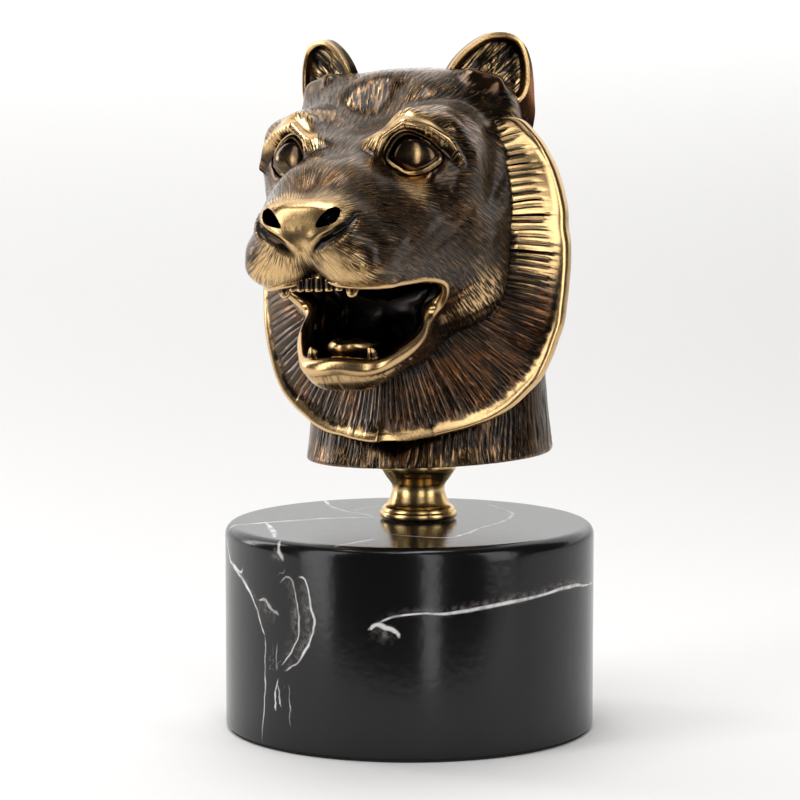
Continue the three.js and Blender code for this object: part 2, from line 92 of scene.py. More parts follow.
def smooth_noise(across: Array, along: Array, seed: float) -> Array:
    """Smooth noise: random values on whole numbers, eased between their four neighbours.

    Args:
        across: First coordinate of each place.
        along: Second coordinate of each place.
        seed: Which of the endless patterns it is.

    Returns:
        Values from -1 to 1.
    """
    left, low = np.floor(across), np.floor(along)
    x, y = smoothstep(across - left, 0, 1), smoothstep(along - low, 0, 1)
    below = random_share(left, low, seed) * (1 - x) + random_share(left + 1, low, seed) * x
    above = random_share(left, low + 1, seed) * (1 - x) + random_share(left + 1, low + 1, seed) * x
    return 2 * (below * (1 - y) + above * y) - 1


def smooth_path(knots: Sequence[Sequence[float]], count: int, closed: bool = False) -> Array:
    """Evenly spaced points on a curve through the knots.

    Between two knots the curve is a cubic whose end slopes come from the neighbouring knots, with the
    square root of each gap as its step, so that it doesn't swing out at a corner.

    Args:
        knots: The points that the curve goes through.
        count: How many points to give back.
        closed: Whether the curve goes back to its first knot.

    Returns:
        An array of count points.
    """
    p = np.asarray(knots, float)
    if closed:
        p = np.vstack([p[-1:], p, p[:2]])
    else:
        p = np.vstack([2 * p[:1] - p[1:2], p, 2 * p[-1:] - p[-2:-1]])
    step = np.sqrt(np.maximum(np.linalg.norm(np.diff(p, axis=0), axis=1), 1e-6))[:, None]
    a, b, c, d = p[:-3], p[1:-2], p[2:-1], p[3:]
    s0, s1, s2 = step[:-2], step[1:-1], step[2:]
    start = ((b - a) / s0 - (c - a) / (s0 + s1) + (c - b) / s1) * s1
    end = ((c - b) / s1 - (d - b) / (s1 + s2) + (d - c) / s2) * s1
    t = np.linspace(0, 1, 24, endpoint=False)[None, :, None]
    fine = (
        b[:, None] * (2 * t**3 - 3 * t**2 + 1)
        + c[:, None] * (3 * t**2 - 2 * t**3)
        + start[:, None] * (t**3 - 2 * t**2 + t)
        + end[:, None] * (t**3 - t**2)
    ).reshape(-1, p.shape[1])
    fine = np.vstack([fine, c[-1:]])
    length = np.concatenate([[0], np.cumsum(np.linalg.norm(np.diff(fine, axis=0), axis=1))])
    places = np.linspace(0, length[-1], count, endpoint=not closed)
    return np.stack([np.interp(places, length, axis) for axis in fine.T], axis=1)


def turned(points: Array, tip: float, turn: float) -> Array:
    """Points tipped about X and then turned about Z, by two rotation matrices.

    Args:
        points: Rows of places or directions.
        tip: The first angle in degrees.
        turn: The second angle in degrees.

    Returns:
        The turned rows.
    """
    a, b = math.radians(tip), math.radians(turn)
    tipping = np.array([[1, 0, 0], [0, math.cos(a), -math.sin(a)], [0, math.sin(a), math.cos(a)]])
    turning = np.array([[math.cos(b), -math.sin(b), 0], [math.sin(b), math.cos(b), 0], [0, 0, 1]])
    return points @ (turning @ tipping).T


# Skins: closed surfaces made of rings of points


@dataclass
class Skin:
    """A closed surface and the marks that its finish reads.

    Args:
        points: Places in millimetres.
        triangles: Point numbers, three to a facet, facing outwards.
        groove: How deep a tool mark lies at each point, from 0 to 1.
        rub: How far the patina is rubbed off at each point, from 0 to 1, and in a few places a painted
            highlight.
        gloom: Painted shade at each point, in a pit, a crease, an eye's socket or the mouth, from 0 to 1.
            Below nought it lightens.
        comb: Places along and across the hair in millimetres, and how strong its strokes are, from 0 to 1.
        polish: How glossy the metal is at each point, from 0 to 1.
    """

    points: Array
    triangles: Array
    groove: Array
    rub: Array
    gloom: Array
    comb: Array
    polish: Array

    def mirrored(self) -> "Skin":
        """The same skin on the other side of the middle, still facing outwards."""
        return replace(self, points=self.points * [-1, 1, 1], triangles=self.triangles[:, ::-1])


def skin_normals(points: Array, triangles: Array) -> Array:
    """Normals at points: the sum of the facets' cross products around each.

    Args:
        points: Places of the points.
        triangles: Point numbers, three to a facet.

    Returns:
        One unit vector for each point.
    """
    a, b, c = (points[triangles[:, k]] for k in range(3))
    facet = np.cross(b - a, c - a)
    corners = triangles.T.ravel()
    total = np.stack([np.bincount(corners, np.tile(facet[:, k], 3), len(points)) for k in range(3)], -1)
    return unit(total)


def ring_triangles(sizes: Sequence[int], wrap: bool = False) -> Array:
    """Triangles between rings of points that follow each other.

    Two rings of one size join square by square, a ring of one point is a pole, and a ring may have twice
    the points of its neighbour.

    Args:
        sizes: How many points each ring has.
        wrap: Whether the last ring joins the first.

    Returns:
        Point numbers, three to a triangle.
    """
    starts = np.concatenate([[0], np.cumsum(sizes)]).astype(int)
    pairs = [(r, r + 1) for r in range(len(sizes) - 1)] + ([(len(sizes) - 1, 0)] if wrap else [])
    found = []
    for low, high in pairs:
        n, m = sizes[low], sizes[high]
        a, b = starts[low], starts[high]
        i = np.arange(min(n, m) if min(n, m) > 1 else max(n, m))
        nxt = (i + 1) % len(i)
        if n == 1:
            found.append(np.stack([np.full_like(i, a), b + i, b + nxt], 1))
        elif m == 1:
            found.append(np.stack([a + i, np.full_like(i, b), a + nxt], 1))
        elif n == m:
            found.append(np.stack([a + i, b + i, b + nxt], 1))
            found.append(np.stack([a + i, b + nxt, a + nxt], 1))
        elif m == 2 * n:
            found.append(np.stack([a + i, b + 2 * i, b + 2 * i + 1], 1))
            found.append(np.stack([a + i, b + 2 * i + 1, a + nxt], 1))
            found.append(np.stack([a + nxt, b + 2 * i + 1, b + 2 * nxt], 1))
        else:
            found.append(np.stack([a + 2 * i, b + i, a + 2 * i + 1], 1))
            found.append(np.stack([a + 2 * i + 1, b + i, b + nxt], 1))
            found.append(np.stack([a + 2 * i + 1, b + nxt, a + 2 * nxt], 1))
    return np.concatenate(found)


def skin_of(rings: Sequence[Array], wrap: bool = False, **marks: Union[float, Sequence[Array]]) -> Skin:
    """A closed skin over rings of points, facing outwards.

    Args:
        rings: One array of points for each ring, with a single point for a pole.
        wrap: Whether the last ring joins the first.
        marks: Marks by name, each as one value or as an array for each ring. The others are nought.

    Returns:
        The skin, its triangles turned so that its volume is positive.
    """
    points = np.concatenate(rings).astype(float)
    triangles = ring_triangles([len(ring) for ring in rings], wrap)
    a, b, c = (points[triangles[:, k]] for k in range(3))
    if np.einsum("ij,ij->", a, np.cross(b, c)) < 0:
        triangles = triangles[:, ::-1]
    none = np.zeros(len(points))
    skin = Skin(points, triangles, groove=none, rub=none, gloom=none, comb=points * 0, polish=none)
    for name, values in marks.items():
        even = isinstance(values, float)
        setattr(skin, name, np.full(len(points), values) if even else np.concatenate(values))
    return skin


def turned_solid(profile: Sequence[Sequence[float]], columns: int, centre_y: float = 0.0) -> Skin:
    """A solid of revolution: a profile carried round an upright axis, with a pole at each end.

    Args:
        profile: Radii and heights, from the underside over the edge to the top.
        columns: How many points go round.
        centre_y: Where the axis stands.

    Returns:
        The closed skin.
    """
    turn = round_turns(columns)
    level = np.zeros(columns)
    poles = [np.array([[0, centre_y, profile[end][1]]]) for end in (0, -1)]
    rings = [np.stack([r * np.sin(turn), centre_y - r * np.cos(turn), level + z], -1) for r, z in profile]
    return skin_of([poles[0], *rings, poles[1]])


def in_scene(name: str, data: bpy.types.ID) -> bpy.types.Object:
    """A new object of the scene over a mesh, a lamp or a camera.

    Args:
        name: The object's name.
        data: What the object shows.

    Returns:
        The object, at the origin.
    """
    made = bpy.data.objects.new(name, data)
    bpy.context.scene.collection.objects.link(made)
    return made


def mesh_object(name: str, skin: Skin) -> bpy.types.Object:
    """A mesh object over a skin, in metres.

    Args:
        name: The name of the mesh and of the object.
        skin: The surface.

    Returns:
        The object.
    """
    mesh = bpy.data.meshes.new(name)
    mesh.from_pydata((skin.points * METRES).tolist(), [], skin.triangles.tolist())
    mesh.update()
    return in_scene(name, mesh)


def set_mark(mesh: bpy.types.Mesh, name: str, values: Array) -> None:
    """Keeps a mark for every point of a mesh.

    Args:
        mesh: The mesh.
        name: The mark's name, which its finish reads.
        values: A number, or a row of three, for each point.
    """
    kind, part = ("FLOAT", "value") if values.ndim == 1 else ("FLOAT_VECTOR", "vector")
    layer = mesh.attributes.new(name, kind, "POINT")
    layer.data.foreach_set(part, values.astype(np.float32).ravel())


def mesh_points(mesh: bpy.types.Mesh) -> Array:
    """The places of a mesh's points.

    Args:
        mesh: A mesh in metres.

    Returns:
        One row for each point, in millimetres.
    """
    flat = np.empty(len(mesh.vertices) * 3, np.float32)
    mesh.vertices.foreach_get("co", flat)
    return flat.reshape(-1, 3).astype(float) / METRES


def mesh_triangles(mesh: bpy.types.Mesh) -> Array:
    """The triangles of a mesh.

    Args:
        mesh: The mesh.

    Returns:
        Point numbers, three to a row.
    """
    mesh.calc_loop_triangles()
    flat = np.empty(len(mesh.loop_triangles) * 3, np.int32)
    mesh.loop_triangles.foreach_get("vertices", flat)
    return flat.reshape(-1, 3)


def smooth_shade(mesh: bpy.types.Mesh, angle: float) -> None:
    """Smooth shading, with a hard edge wherever two facets meet at more than the angle in degrees."""
    mesh.shade_smooth()
    mesh.set_sharp_from_angle(angle=math.radians(angle))


class Join(Enum):
    """How one solid acts on another."""

    ADD = "UNION"
    CUT = "DIFFERENCE"


def joined(body: bpy.types.Object, tool: Skin, how: Join) -> None:
    """Adds a skin to a body or cuts it out, and leaves the result as the body's mesh.

    Args:
        body: The object that is changed.
        tool: The closed skin that acts on it.
        how: Whether the skin is added or cut out.
    """
    other = mesh_object("tool", tool)
    act = body.modifiers.new("join", "BOOLEAN")
    act.operation = how.value
    act.solver = "MANIFOLD"
    act.object = other
    graph = bpy.context.evaluated_depsgraph_get()
    made = bpy.data.meshes.new_from_object(body.evaluated_get(graph))
    body.modifiers.clear()
    old = body.data
    body.data = made
    bpy.data.meshes.remove(old)
    bpy.data.objects.remove(other)


def together(skins: Sequence[Skin]) -> Skin:
    """Several skins that don't touch, as one.

    Args:
        skins: The skins.

    Returns:
        One skin with all their points, triangles and marks.
    """
    shift = np.cumsum([0, *(len(skin.points) for skin in skins[:-1])])
    triangles = np.concatenate([skin.triangles + first for skin, first in zip(skins, shift)])
    marks = ("groove", "rub", "gloom", "comb", "polish")
    joint = {name: np.concatenate([getattr(skin, name) for skin in skins]) for name in ("points", *marks)}
    return Skin(triangles=triangles, **joint)


# Forms: the masses that the head is modelled from


@dataclass(frozen=True)
class Egg:
    """A rounded mass: squareness two is a true egg, and more fills out its corners."""

    centre: Place
    half: Place
    blend: float
    squareness: float = 2.0

    def distance(self, p: Array) -> Array:
        """Distance to the skin: the egg's own measure less one, over the length of its slope.

        Args:
            p: Places in millimetres.

        Returns:
            Distances, negative inside.
        """
        gap = np.abs(p - self.centre) / self.half
        near = np.maximum(np.sum(gap**self.squareness, axis=-1) ** (1 / self.squareness), 1e-3)
        slope = np.linalg.norm((gap / near[..., None]) ** (self.squareness - 1) / self.half, axis=-1)
        return (near - 1) / np.maximum(slope, 1e-6)


@dataclass(frozen=True)
class Limb:
    """A rounded bar that tapers from one end to the other."""

    start: Place
    end: Place
    start_radius: float
    end_radius: float
    blend: float

    def distance(self, p: Array) -> Array:
        """Distance to the nearest point of the axis, less the radius there.

        Args:
            p: Places in millimetres.

        Returns:
            Distances, negative inside.
        """
        axis = np.subtract(self.end, self.start)
        along = np.clip(((p - self.start) @ axis) / (axis @ axis), 0, 1)
        gap = np.linalg.norm(p - self.start - along[..., None] * axis, axis=-1)
        return gap - (self.start_radius + (self.end_radius - self.start_radius) * along)


@dataclass(frozen=True)
class Thread:
    """A thin round line through several points, for creases and ridges."""

    points: Line
    radius: float
    blend: float

    def distance(self, p: Array) -> Array:
        """Distance to the nearest of its straight pieces, the radius fading out towards both ends.

        Args:
            p: Places in millimetres.

        Returns:
            Distances, negative inside.
        """
        knots = np.asarray(self.points, float)
        count = len(knots) - 1
        found = np.full(p.shape[:-1], 1e9)
        for k, (a, b) in enumerate(zip(knots[:-1], knots[1:])):
            axis = b - a
            along = np.clip(((p - a) @ axis) / (axis @ axis), 0, 1)
            gap = np.linalg.norm(p - a - along[..., None] * axis, axis=-1)
            share = (k + along) / count
            found = np.minimum(found, gap - self.radius * (0.35 + 0.65 * np.sin(np.pi * share) ** 0.7))
        return found


Form = Union[Egg, Limb, Thread]


def blend_union(first: Array, second: Array, width: float) -> Array:
    """Union of two distances that runs them into each other over a width."""
    share = np.clip(0.5 + 0.5 * (first - second) / width, 0, 1)
    return first + (second - first) * share - width * share * (1 - share)


BROW_LINE: Line = (
    (7.4, -34.6, 133.4),
    (8.2, -33.8, 136.6),
    (12.5, -31.1, 139.8),
    (17.3, -28, 138.2),
    (21, -25.4, 135.2),
    (23.6, -23.3, 130.2),
)

NOSTRIL_FOLD: Line = (
    (11, -56.5, 121.5),
    (9.6, -59.2, 119.2),
    (7.2, -61, 117.4),
    (4.6, -61.7, 116),
    (2.4, -61.2, 113.8),
    (0.8, -60.4, 112),
)

LIP_FURROW: Line = (
    (0, -60.9, 113),
    (0, -60, 110.5),
    (0, -59, 108),
    (0, -57.5, 105),
)

# The skull first, then the muzzle and nose, the chin, the brows, and the roots of the ears
HEAD_FORMS: tuple[Form, ...] = (
    Egg((0, 10, 121), (26.4, 26, 30.6), 1, 2.6),
    Limb((0, 12, 118), (0, 14.6, 93), 24, 23.4, 8),
    Egg((0, -6, 115), (25, 30, 23), 6),
    Egg((0, -13, 124), (18, 20, 16.4), 6),
    Egg((11.8, -15.5, 130.5), (10.6, 13.4, 12.4), 5),
    Limb((2.6, -26, 127.4), (2.8, -42, 122.6), 9.6, 8.8, 5),
    Limb((2.8, -42, 122.6), (4, -53, 117.4), 8.8, 8.6, 4),
    Limb((8, -43, 112), (9.5, -14, 112), 9.4, 13.5, 7),
    Egg((13, -3, 103.5), (11.8, 11, 11.6), 6),
    Egg((15, -17, 125), (8, 10, 8.6), 5),
    Egg((8.4, -30, 117.5), (10.4, 15, 11.5), 6),
    Egg((16.4, -12, 132), (7.6, 12, 10), 5),
    Egg((7.9, -47.8, 111.8), (8.6, 10.3, 6.8), 2, 2.3),
    Egg((0, -55.6, 119.9), (8.2, 6, 5), 1.2, 3),
    Egg((6.4, -56.4, 120.4), (3.2, 4.5, 3.6), 1),
    Limb((0, -57.5, 118), (0, -58.2, 114), 4, 1.7, 1.2),
    Egg((0, -31, 98), (15.6, 18, 13), 4),
    Egg((0, -35.6, 88.4), (7.5, 6.8, 6.2), 3),
    Limb((3.6, -36.6, 88.3), (9, -23, 92), 5.9, 5.2, 3),
    Egg((0, -14, 93), (13, 14, 10), 4),
    Limb((6.8, -31.5, 135.2), (12.5, -26.2, 139), 2, 2.6, 4),
    Limb((12.5, -26.2, 139), (18.6, -21.4, 137), 2.6, 1.6, 5),
    Limb((18.6, -21.4, 137), (21.2, -18, 131.5), 1.6, 0.9, 6),
    Egg((18.6, 10, 140), (7, 7, 9.6), 4),
    Egg((14.6, 5, 141), (8, 6.2, 9.4), 4),
    Limb((16.5, 3.4, 148.8), (21, 5.8, 146.8), 2.3, 1.9, 1.2),
    Limb((21, 5.8, 146.8), (22.6, 8, 139), 1.8, 1.4, 3),
    Thread(BROW_LINE, 0.8, 2),
)

NOSE_CREASES: tuple[Thread, ...] = (
    Thread(NOSTRIL_FOLD, 1.15, 0.9),
    Thread(LIP_FURROW, 1.3, 0.9),
)

HEAD_HOLLOWS: tuple[Form, ...] = (
    Egg((15, -32, 132.4), (6.2, 5.4, 4.8), 2),
    Egg((0, -22, 148.5), (6, 18, 8.6), 6),
    *NOSE_CREASES,
)


@dataclass
class RubAndSheenSpot:
    """A place where the patina turns gold, full within its radius and gone a little past it: rubbed wear, and
    partly a painted sheen on the crown and forehead.
    """

    centre: Place
    radius: float
    strength: float

    def share(self, p: Array) -> Array:
        """The gold share at points on both sides of the middle: e to minus the cube of the distance over the
        radius.

        Args:
            p: Places in millimetres.

        Returns:
            Shares from 0 to the spot's strength.
        """
        folded = np.stack([np.abs(p[..., 0]), p[..., 1], p[..., 2]], -1)
        gap = np.linalg.norm(folded - self.centre, axis=-1) / self.radius
        return self.strength * np.exp(-(gap**3))


# Nose and muzzle, brow, cheek, crown and forehead (partly a painted sheen), jaw corner, chin, ear's root, and
# broad faint ones
RUB_AND_SHEEN_SPOTS: tuple[RubAndSheenSpot, ...] = (
    RubAndSheenSpot((0, -59, 120), 7.5, 1.0),
    RubAndSheenSpot((6.5, -59, 122), 5.5, 1.0),
    RubAndSheenSpot((0, -60, 115), 3.5, 1.0),
    RubAndSheenSpot((7.0, -58, 110), 6.4, 0.85),
    RubAndSheenSpot((10.5, -54, 107.5), 4.6, 0.75),
    RubAndSheenSpot((14, -48, 106.5), 3.6, 0.5),
    RubAndSheenSpot((12.5, -30, 140.6), 3.8, 0.85),
    RubAndSheenSpot((16.5, -28, 139.4), 3.2, 0.7),
    RubAndSheenSpot((7.6, -34, 137), 3.0, 0.9),
    RubAndSheenSpot((20.6, -25, 136.4), 2.6, 0.6),
    RubAndSheenSpot((15.6, -34, 126), 4.6, 1.1),
    # The crown and forehead spots are partly rubbed patina and partly a painted sheen of the light from
    # above.
    RubAndSheenSpot((2, -14, 152), 13, 0.34),
    RubAndSheenSpot((-4, -24, 146), 9, 0.34),
    RubAndSheenSpot((24, -12, 101), 8, 0.4),
    RubAndSheenSpot((21, -14, 100), 5.5, 0.42),
    RubAndSheenSpot((23.5, -6, 103), 4.5, 0.38),
    RubAndSheenSpot((18, -18, 95), 4.5, 0.3),
    RubAndSheenSpot((0, -40, 85), 6.5, 0.55),
    RubAndSheenSpot((8, -38, 86), 5.5, 0.5),
    RubAndSheenSpot((13, -30, 88), 4.0, 0.35),
    RubAndSheenSpot((24.5, 2, 135), 3.6, 0.7),
    RubAndSheenSpot((25.5, 6, 139.5), 2.4, 0.6),
    RubAndSheenSpot((3, -46, 131), 8.0, 0.3),
    RubAndSheenSpot((15, -22, 143), 8.0, 0.28),
    RubAndSheenSpot((21, -18, 117), 9.0, 0.16),
)


@dataclass
class HeadForm:
    """The modelled head as one distance field, and the walk that finds its skin.

    Args:
        forms: The masses, joined one after another.
        hollows: What is taken out of them.
        core: The place inside the head that its skin is seen from.
        reach: Where the walk starts, further out than any form.
        fold_softness: How soft the fold between the two halves is, in millimetres.
        walk_share: The share of the distance that a step takes.
        walk_steps: How many steps the walk has.
        nudges: How many times the last part is corrected.
        probe: How far out the slope is felt.
    """

    forms: tuple[Form, ...] = HEAD_FORMS
    hollows: tuple[Form, ...] = HEAD_HOLLOWS
    core: Place = (0, -4, 116)
    reach: float = 75.0
    fold_softness: float = 1.2
    walk_share: float = 0.75
    walk_steps: int = 34
    nudges: int = 2
    probe: float = 0.05

    def folded(self, points: Array) -> Array:
        """Points with both sides of the head folded softly onto one: the root of the sum of two squares."""
        x = np.hypot(points[..., 0], self.fold_softness) - self.fold_softness * 0.5
        return np.stack([x, points[..., 1], points[..., 2]], -1)

    def distance(self, points: Array) -> Array:
        """Distance to the skin: the forms joined in turn, less the hollows.

        Args:
            points: Places in millimetres.

        Returns:
            Distances, negative inside.
        """
        p = self.folded(points)
        found = np.full(p.shape[:-1], self.reach)
        for form in self.forms:
            found = blend_union(found, form.distance(p), form.blend)
        for hollow in self.hollows:
            found = -blend_union(-found, hollow.distance(p), hollow.blend)
        return found

    def skin(self, directions: Array) -> Array:
        """The skin's points seen from the core.

        It walks inwards by a share of the distance at each step, and then corrects the last part by the
        slope of the distance along the line.

        Args:
            directions: Unit vectors from the core.

        Returns:
            One point for each direction.
        """
        core = np.asarray(self.core, float)
        far = np.full(directions.shape[:-1], self.reach)
        for _ in range(self.walk_steps):
            far = far - self.walk_share * self.distance(core + directions * far[..., None])
        for _ in range(self.nudges):
            here = self.distance(core + directions * far[..., None])
            out = self.distance(core + directions * (far + self.probe)[..., None])
            far = far - np.clip(here / np.maximum((out - here) / self.probe, 0.3), -0.5, 0.5)
        return core + directions * far[..., None]


def pole_directions(away: Array, columns: int) -> Array:
    """Directions on a sphere whose pole looks straight ahead.

    Args:
        away: Angles away from straight ahead, in radians.
        columns: How many directions go round.

    Returns:
        Unit vectors, one row for each angle away.
    """
    a, r = np.meshgrid(away, round_turns(columns), indexing="ij")
    return np.stack([np.sin(a) * np.sin(r), -np.cos(a), np.sin(a) * np.cos(r)], -1)


@dataclass
class FaceAndSkull:
    """The face and skull: rings of points from the tip of the nose round to the back of the head.

    Args:
        form: The modelled head.
        columns: How many points go round the face, twice those round the nose and the back.
        muzzle_length: Where the full rings start, along the skin.
        face_length: Where they end.
        face_step: The gap between rings up to there.
        back_step: The gap between rings behind.
        nose_tip: Where the hair starts.
        comb_start: Where the hair starts to sink, along Y.
        droop: How much the hair sinks on its way back.
        sink: How much faster it does further back.
        comb_radius: Millimetres across the hair for a radian.
        lock_depth: How deep the soft locks are.
        swell_depth: The broad unevenness.
        middle_z: The height that the locks go round.
    """

    form: HeadForm
    columns: int = 440
    muzzle_length: float = 15.0
    face_length: float = 92.0
    face_step: float = 0.7
    back_step: float = 1.8
    nose_tip: Place = (0, -60, 121)
    comb_start: float = -50.0
    droop: float = 0.2
    sink: float = 0.006
    comb_radius: float = 24.0
    lock_depth: float = 0.09
    swell_depth: float = 0.12
    middle_z: float = 116.0

    def ring_plan(self) -> tuple[Array, list[int]]:
        """Where the rings lie: spaced evenly along the skin, by the mean length of a coarse skin's meridians.

        Returns:
            The angle away from straight ahead and the number of points of each ring.
        """
        away = np.linspace(0.002, np.pi - 0.002, 80)
        coarse = self.form.skin(pole_directions(away, 36))
        step = np.linalg.norm(np.diff(coarse, axis=0), axis=-1).mean(axis=1)
        length = np.concatenate([[0], np.cumsum(step)])
        face = np.arange(self.face_step, self.face_length, self.face_step)
        back = np.arange(self.face_length, length[-1] - self.back_step * 0.5, self.back_step)
        places = np.concatenate([face, back])
        fine = (places > self.muzzle_length) & (places < self.face_length + 2)
        return np.interp(places, length, away), [self.columns if f else self.columns // 2 for f in fine]

    def comb(self, p: Array, strength: Array) -> Array:
        """Places along and across the hair, which runs back from the nose and droops towards the jaw.

        The place along is the distance from the nose. The place across is the angle round a level axis
        that sinks, slowly and then faster, on its way back.

        Args:
            p: Places in millimetres.
            strength: How strong the hair is at each.

        Returns:
            Rows of the place along, the place across and the strength.
        """
        back = np.maximum(p[:, 1] - self.comb_start, 0)
        axis = self.nose_tip[2] - self.droop * back - self.sink * back**2
        along = np.linalg.norm(p - self.nose_tip, axis=1)
        return np.stack([along, np.arctan2(p[:, 0], p[:, 2] - axis) * self.comb_radius, strength], -1)

    def hair_share(self, p: Array) -> Array:
        """How strong the hair marks are: none on the nose, in the eyes and on the smooth tuft below each ear.

        Each bare place takes its share away by a bell over the distance from its centre.

        Args:
            p: Places in millimetres.

        Returns:
            Shares from 0 to 1.
        """
        q = np.stack([np.abs(p[:, 0]), p[:, 1], p[:, 2]], -1)
        eye_gap = np.linalg.norm((q - [14.4, -29, 133.6]) / [1.1, 1, 1], axis=-1)
        share = smoothstep(eye_gap, 7.4, 9.4)
        nose, tuft = ([0, -60, 119.5], [10.5, 6, 7], 1.0, 6), ([21.5, 3, 148], [9, 5, 4], 0.9, 4)
        pad, chin = ([7.5, -54, 110], [9, 8, 7], 0.75, 4), ([3, -39, 86], [12, 7, 6], 0.85, 4)
        for centre, half, bare, power in (nose, tuft, pad, chin):
            gap = np.linalg.norm((q - centre) / half, axis=-1)
            share = share * (1 - bare * bell(gap, 0, 1, power))
        return share

    def build(self) -> Skin:
        """The skin of face and skull, with soft locks that run along the hair.

        Returns:
            The skin, with its marks.
        """
        away, sizes = self.ring_plan()
        groups: list[Array] = []
        for size in (self.columns // 2, self.columns):
            chosen = np.array(sizes) == size
            groups.append(self.form.skin(pole_directions(away[chosen], size)))
        coarse, fine = iter(groups[0]), iter(groups[1])
        rings = [next(fine) if size == self.columns else next(coarse) for size in sizes]
        poles = self.form.skin(np.array([[0.0, -1, 0], [0, 1.0, 0]]))
        skin = skin_of([poles[:1], *rings, poles[1:]])
        p, normals = skin.points, skin_normals(skin.points, skin.triangles)
        hair = self.hair_share(p)
        high = p[:, 2] - self.middle_z
        across = np.arctan2(p[:, 0], high) * np.maximum(np.hypot(p[:, 0], high), 8)
        lock = smooth_noise(across / 2.1 + 40, p[:, 1] / 6 + 0.2 * across + 20, 3)
        swell = smooth_noise(across / 5.5 + 30, p[:, 1] / 9 + 30, 5)
        below = smoothstep(-p[:, 2], -140, -110)
        cut = self.lock_depth * lock * (0.35 + below) + self.swell_depth * swell * below
        skin.points = p - normals * (hair * cut)[:, None]
        skin.comb = self.comb(p, hair)
        folded = self.form.folded(p)
        # The nose's two creases take a painted shade, darkest along their lines.
        creases = [bell(np.maximum(line.distance(folded) + 0.5, 0), 0, 0.75) for line in NOSE_CREASES]
        skin.gloom = 0.9 * np.max(creases, axis=0)
        skin.polish = 0.35 * (1 - hair)
        skin.rub = 1 - np.prod([1 - spot.share(skin.points) for spot in RUB_AND_SHEEN_SPOTS], axis=0)
        return skin


@dataclass
class Neck:
    """The neck: round below and flatter above, with long uneven locks of hair cut down it.

    Args:
        bottom: The height of the flat underside.
        centre_y: Where the middle of the underside lies.
        radius: The radius at the underside.
        waist_width: Half the width at the waist.
        waist_depth: Half the depth at the waist.
        shift: How far the middle moves back on the way up.
        waist_z: The height of the waist.
        top: The height of the upper end, inside the skull.
        locks: How many locks go round.
        depth: How deep the deepest lock is cut.
        locks_end: The height at which the locks have faded out.
        rows: The rings above the underside, the first and the last for the poles.
        edge: How far the second and third rings draw in to round the lower edge.
    """

    bottom: float = 61.7
    centre_y: float = 13.6
    radius: float = 28.9
    waist_width: float = 27.3
    waist_depth: float = 23.5
    shift: float = 2.4
    waist_z: float = 86.0
    top: float = 132.0
    locks: int = 110
    depth: float = 0.34
    locks_end: float = 104.0
    rows: tuple[float, ...] = (
        *(0, 0, 0.25, 0.8, 1.8, 3.2, 5, 7, 9.5, 12, 15, 18, 21.5, 25, 30, 37, 50, 70.3, 70.3),
    )
    edge: tuple[float, float] = (0.32, 0.1)

    def build(self) -> Skin:
        """Rings up the neck: an oval that opens to a circle at the foot, less the locks' grooves.

        There are four points to a lock. The locks differ in depth, wander sideways and come and go
        along their length.

        Returns:
            The closed skin, with its marks.
        """
        heights = np.array(self.rows) + self.bottom
        offsets = np.array([-0.25, 0.0, 0.25, 0.5])
        lock = np.repeat(np.arange(self.locks), len(offsets))
        turn = (lock + np.tile(offsets, self.locks)) / self.locks * 2 * np.pi
        cut = np.tile([0.4, 1.0, 0.4, 0.0], self.locks)
        level = np.zeros(len(lock))
        poles = [np.array([[0, self.centre_y, heights[end]]]) for end in (0, -1)]
        rings, grooves = [poles[0]], [np.zeros(1)]
        for number, z in enumerate(heights[1:-1]):
            flare = np.clip((self.waist_z - z) / (self.waist_z - self.bottom), 0, 1) ** 1.6
            taper = 1 - 0.3 * smoothstep(z, self.waist_z, self.top + 12)
            wander = 0.5 * smooth_noise(lock * 0.37, level + z / 6, 5) / self.locks * 2 * np.pi
            fade = 1 - smoothstep(z, self.waist_z, self.locks_end)
            patch = smooth_noise(lock * 0.43, z / 4.5 + random_share(lock, level, 2) * 9, 8)
            patch = smoothstep(patch, -0.2, 0.5)
            mark = cut * fade * (0.2 + 0.8 * random_share(lock, level, 4)) * (0.15 + 0.85 * patch)
            dent = 0.12 * smooth_noise(lock * 0.11, level + z / 8, 12) * (number >= len(self.edge))
            inset = self.depth * mark - dent + (self.edge[number] if number < len(self.edge) else 0)
            width = (self.waist_width + (self.radius - self.waist_width) * flare) * taper - inset
            depth = (self.waist_depth + (self.radius - self.waist_depth) * flare) * taper - inset
            middle = self.centre_y + self.shift * (1 - flare)
            around = turn + wander
            rings.append(np.stack([width * np.sin(around), middle - depth * np.cos(around), level + z], -1))
            grooves.append(0.8 * mark)
        skin = skin_of([*rings, poles[1]], groove=[*grooves, np.zeros(1)], polish=0.75)
        x, y, z = skin.points.T
        strength = 0.75 * smoothstep(z, self.bottom - 0.1, self.bottom + 0.8)
        skin.comb = np.stack([z, np.arctan2(x, self.centre_y - y) * self.radius, strength], -1)
        return skin


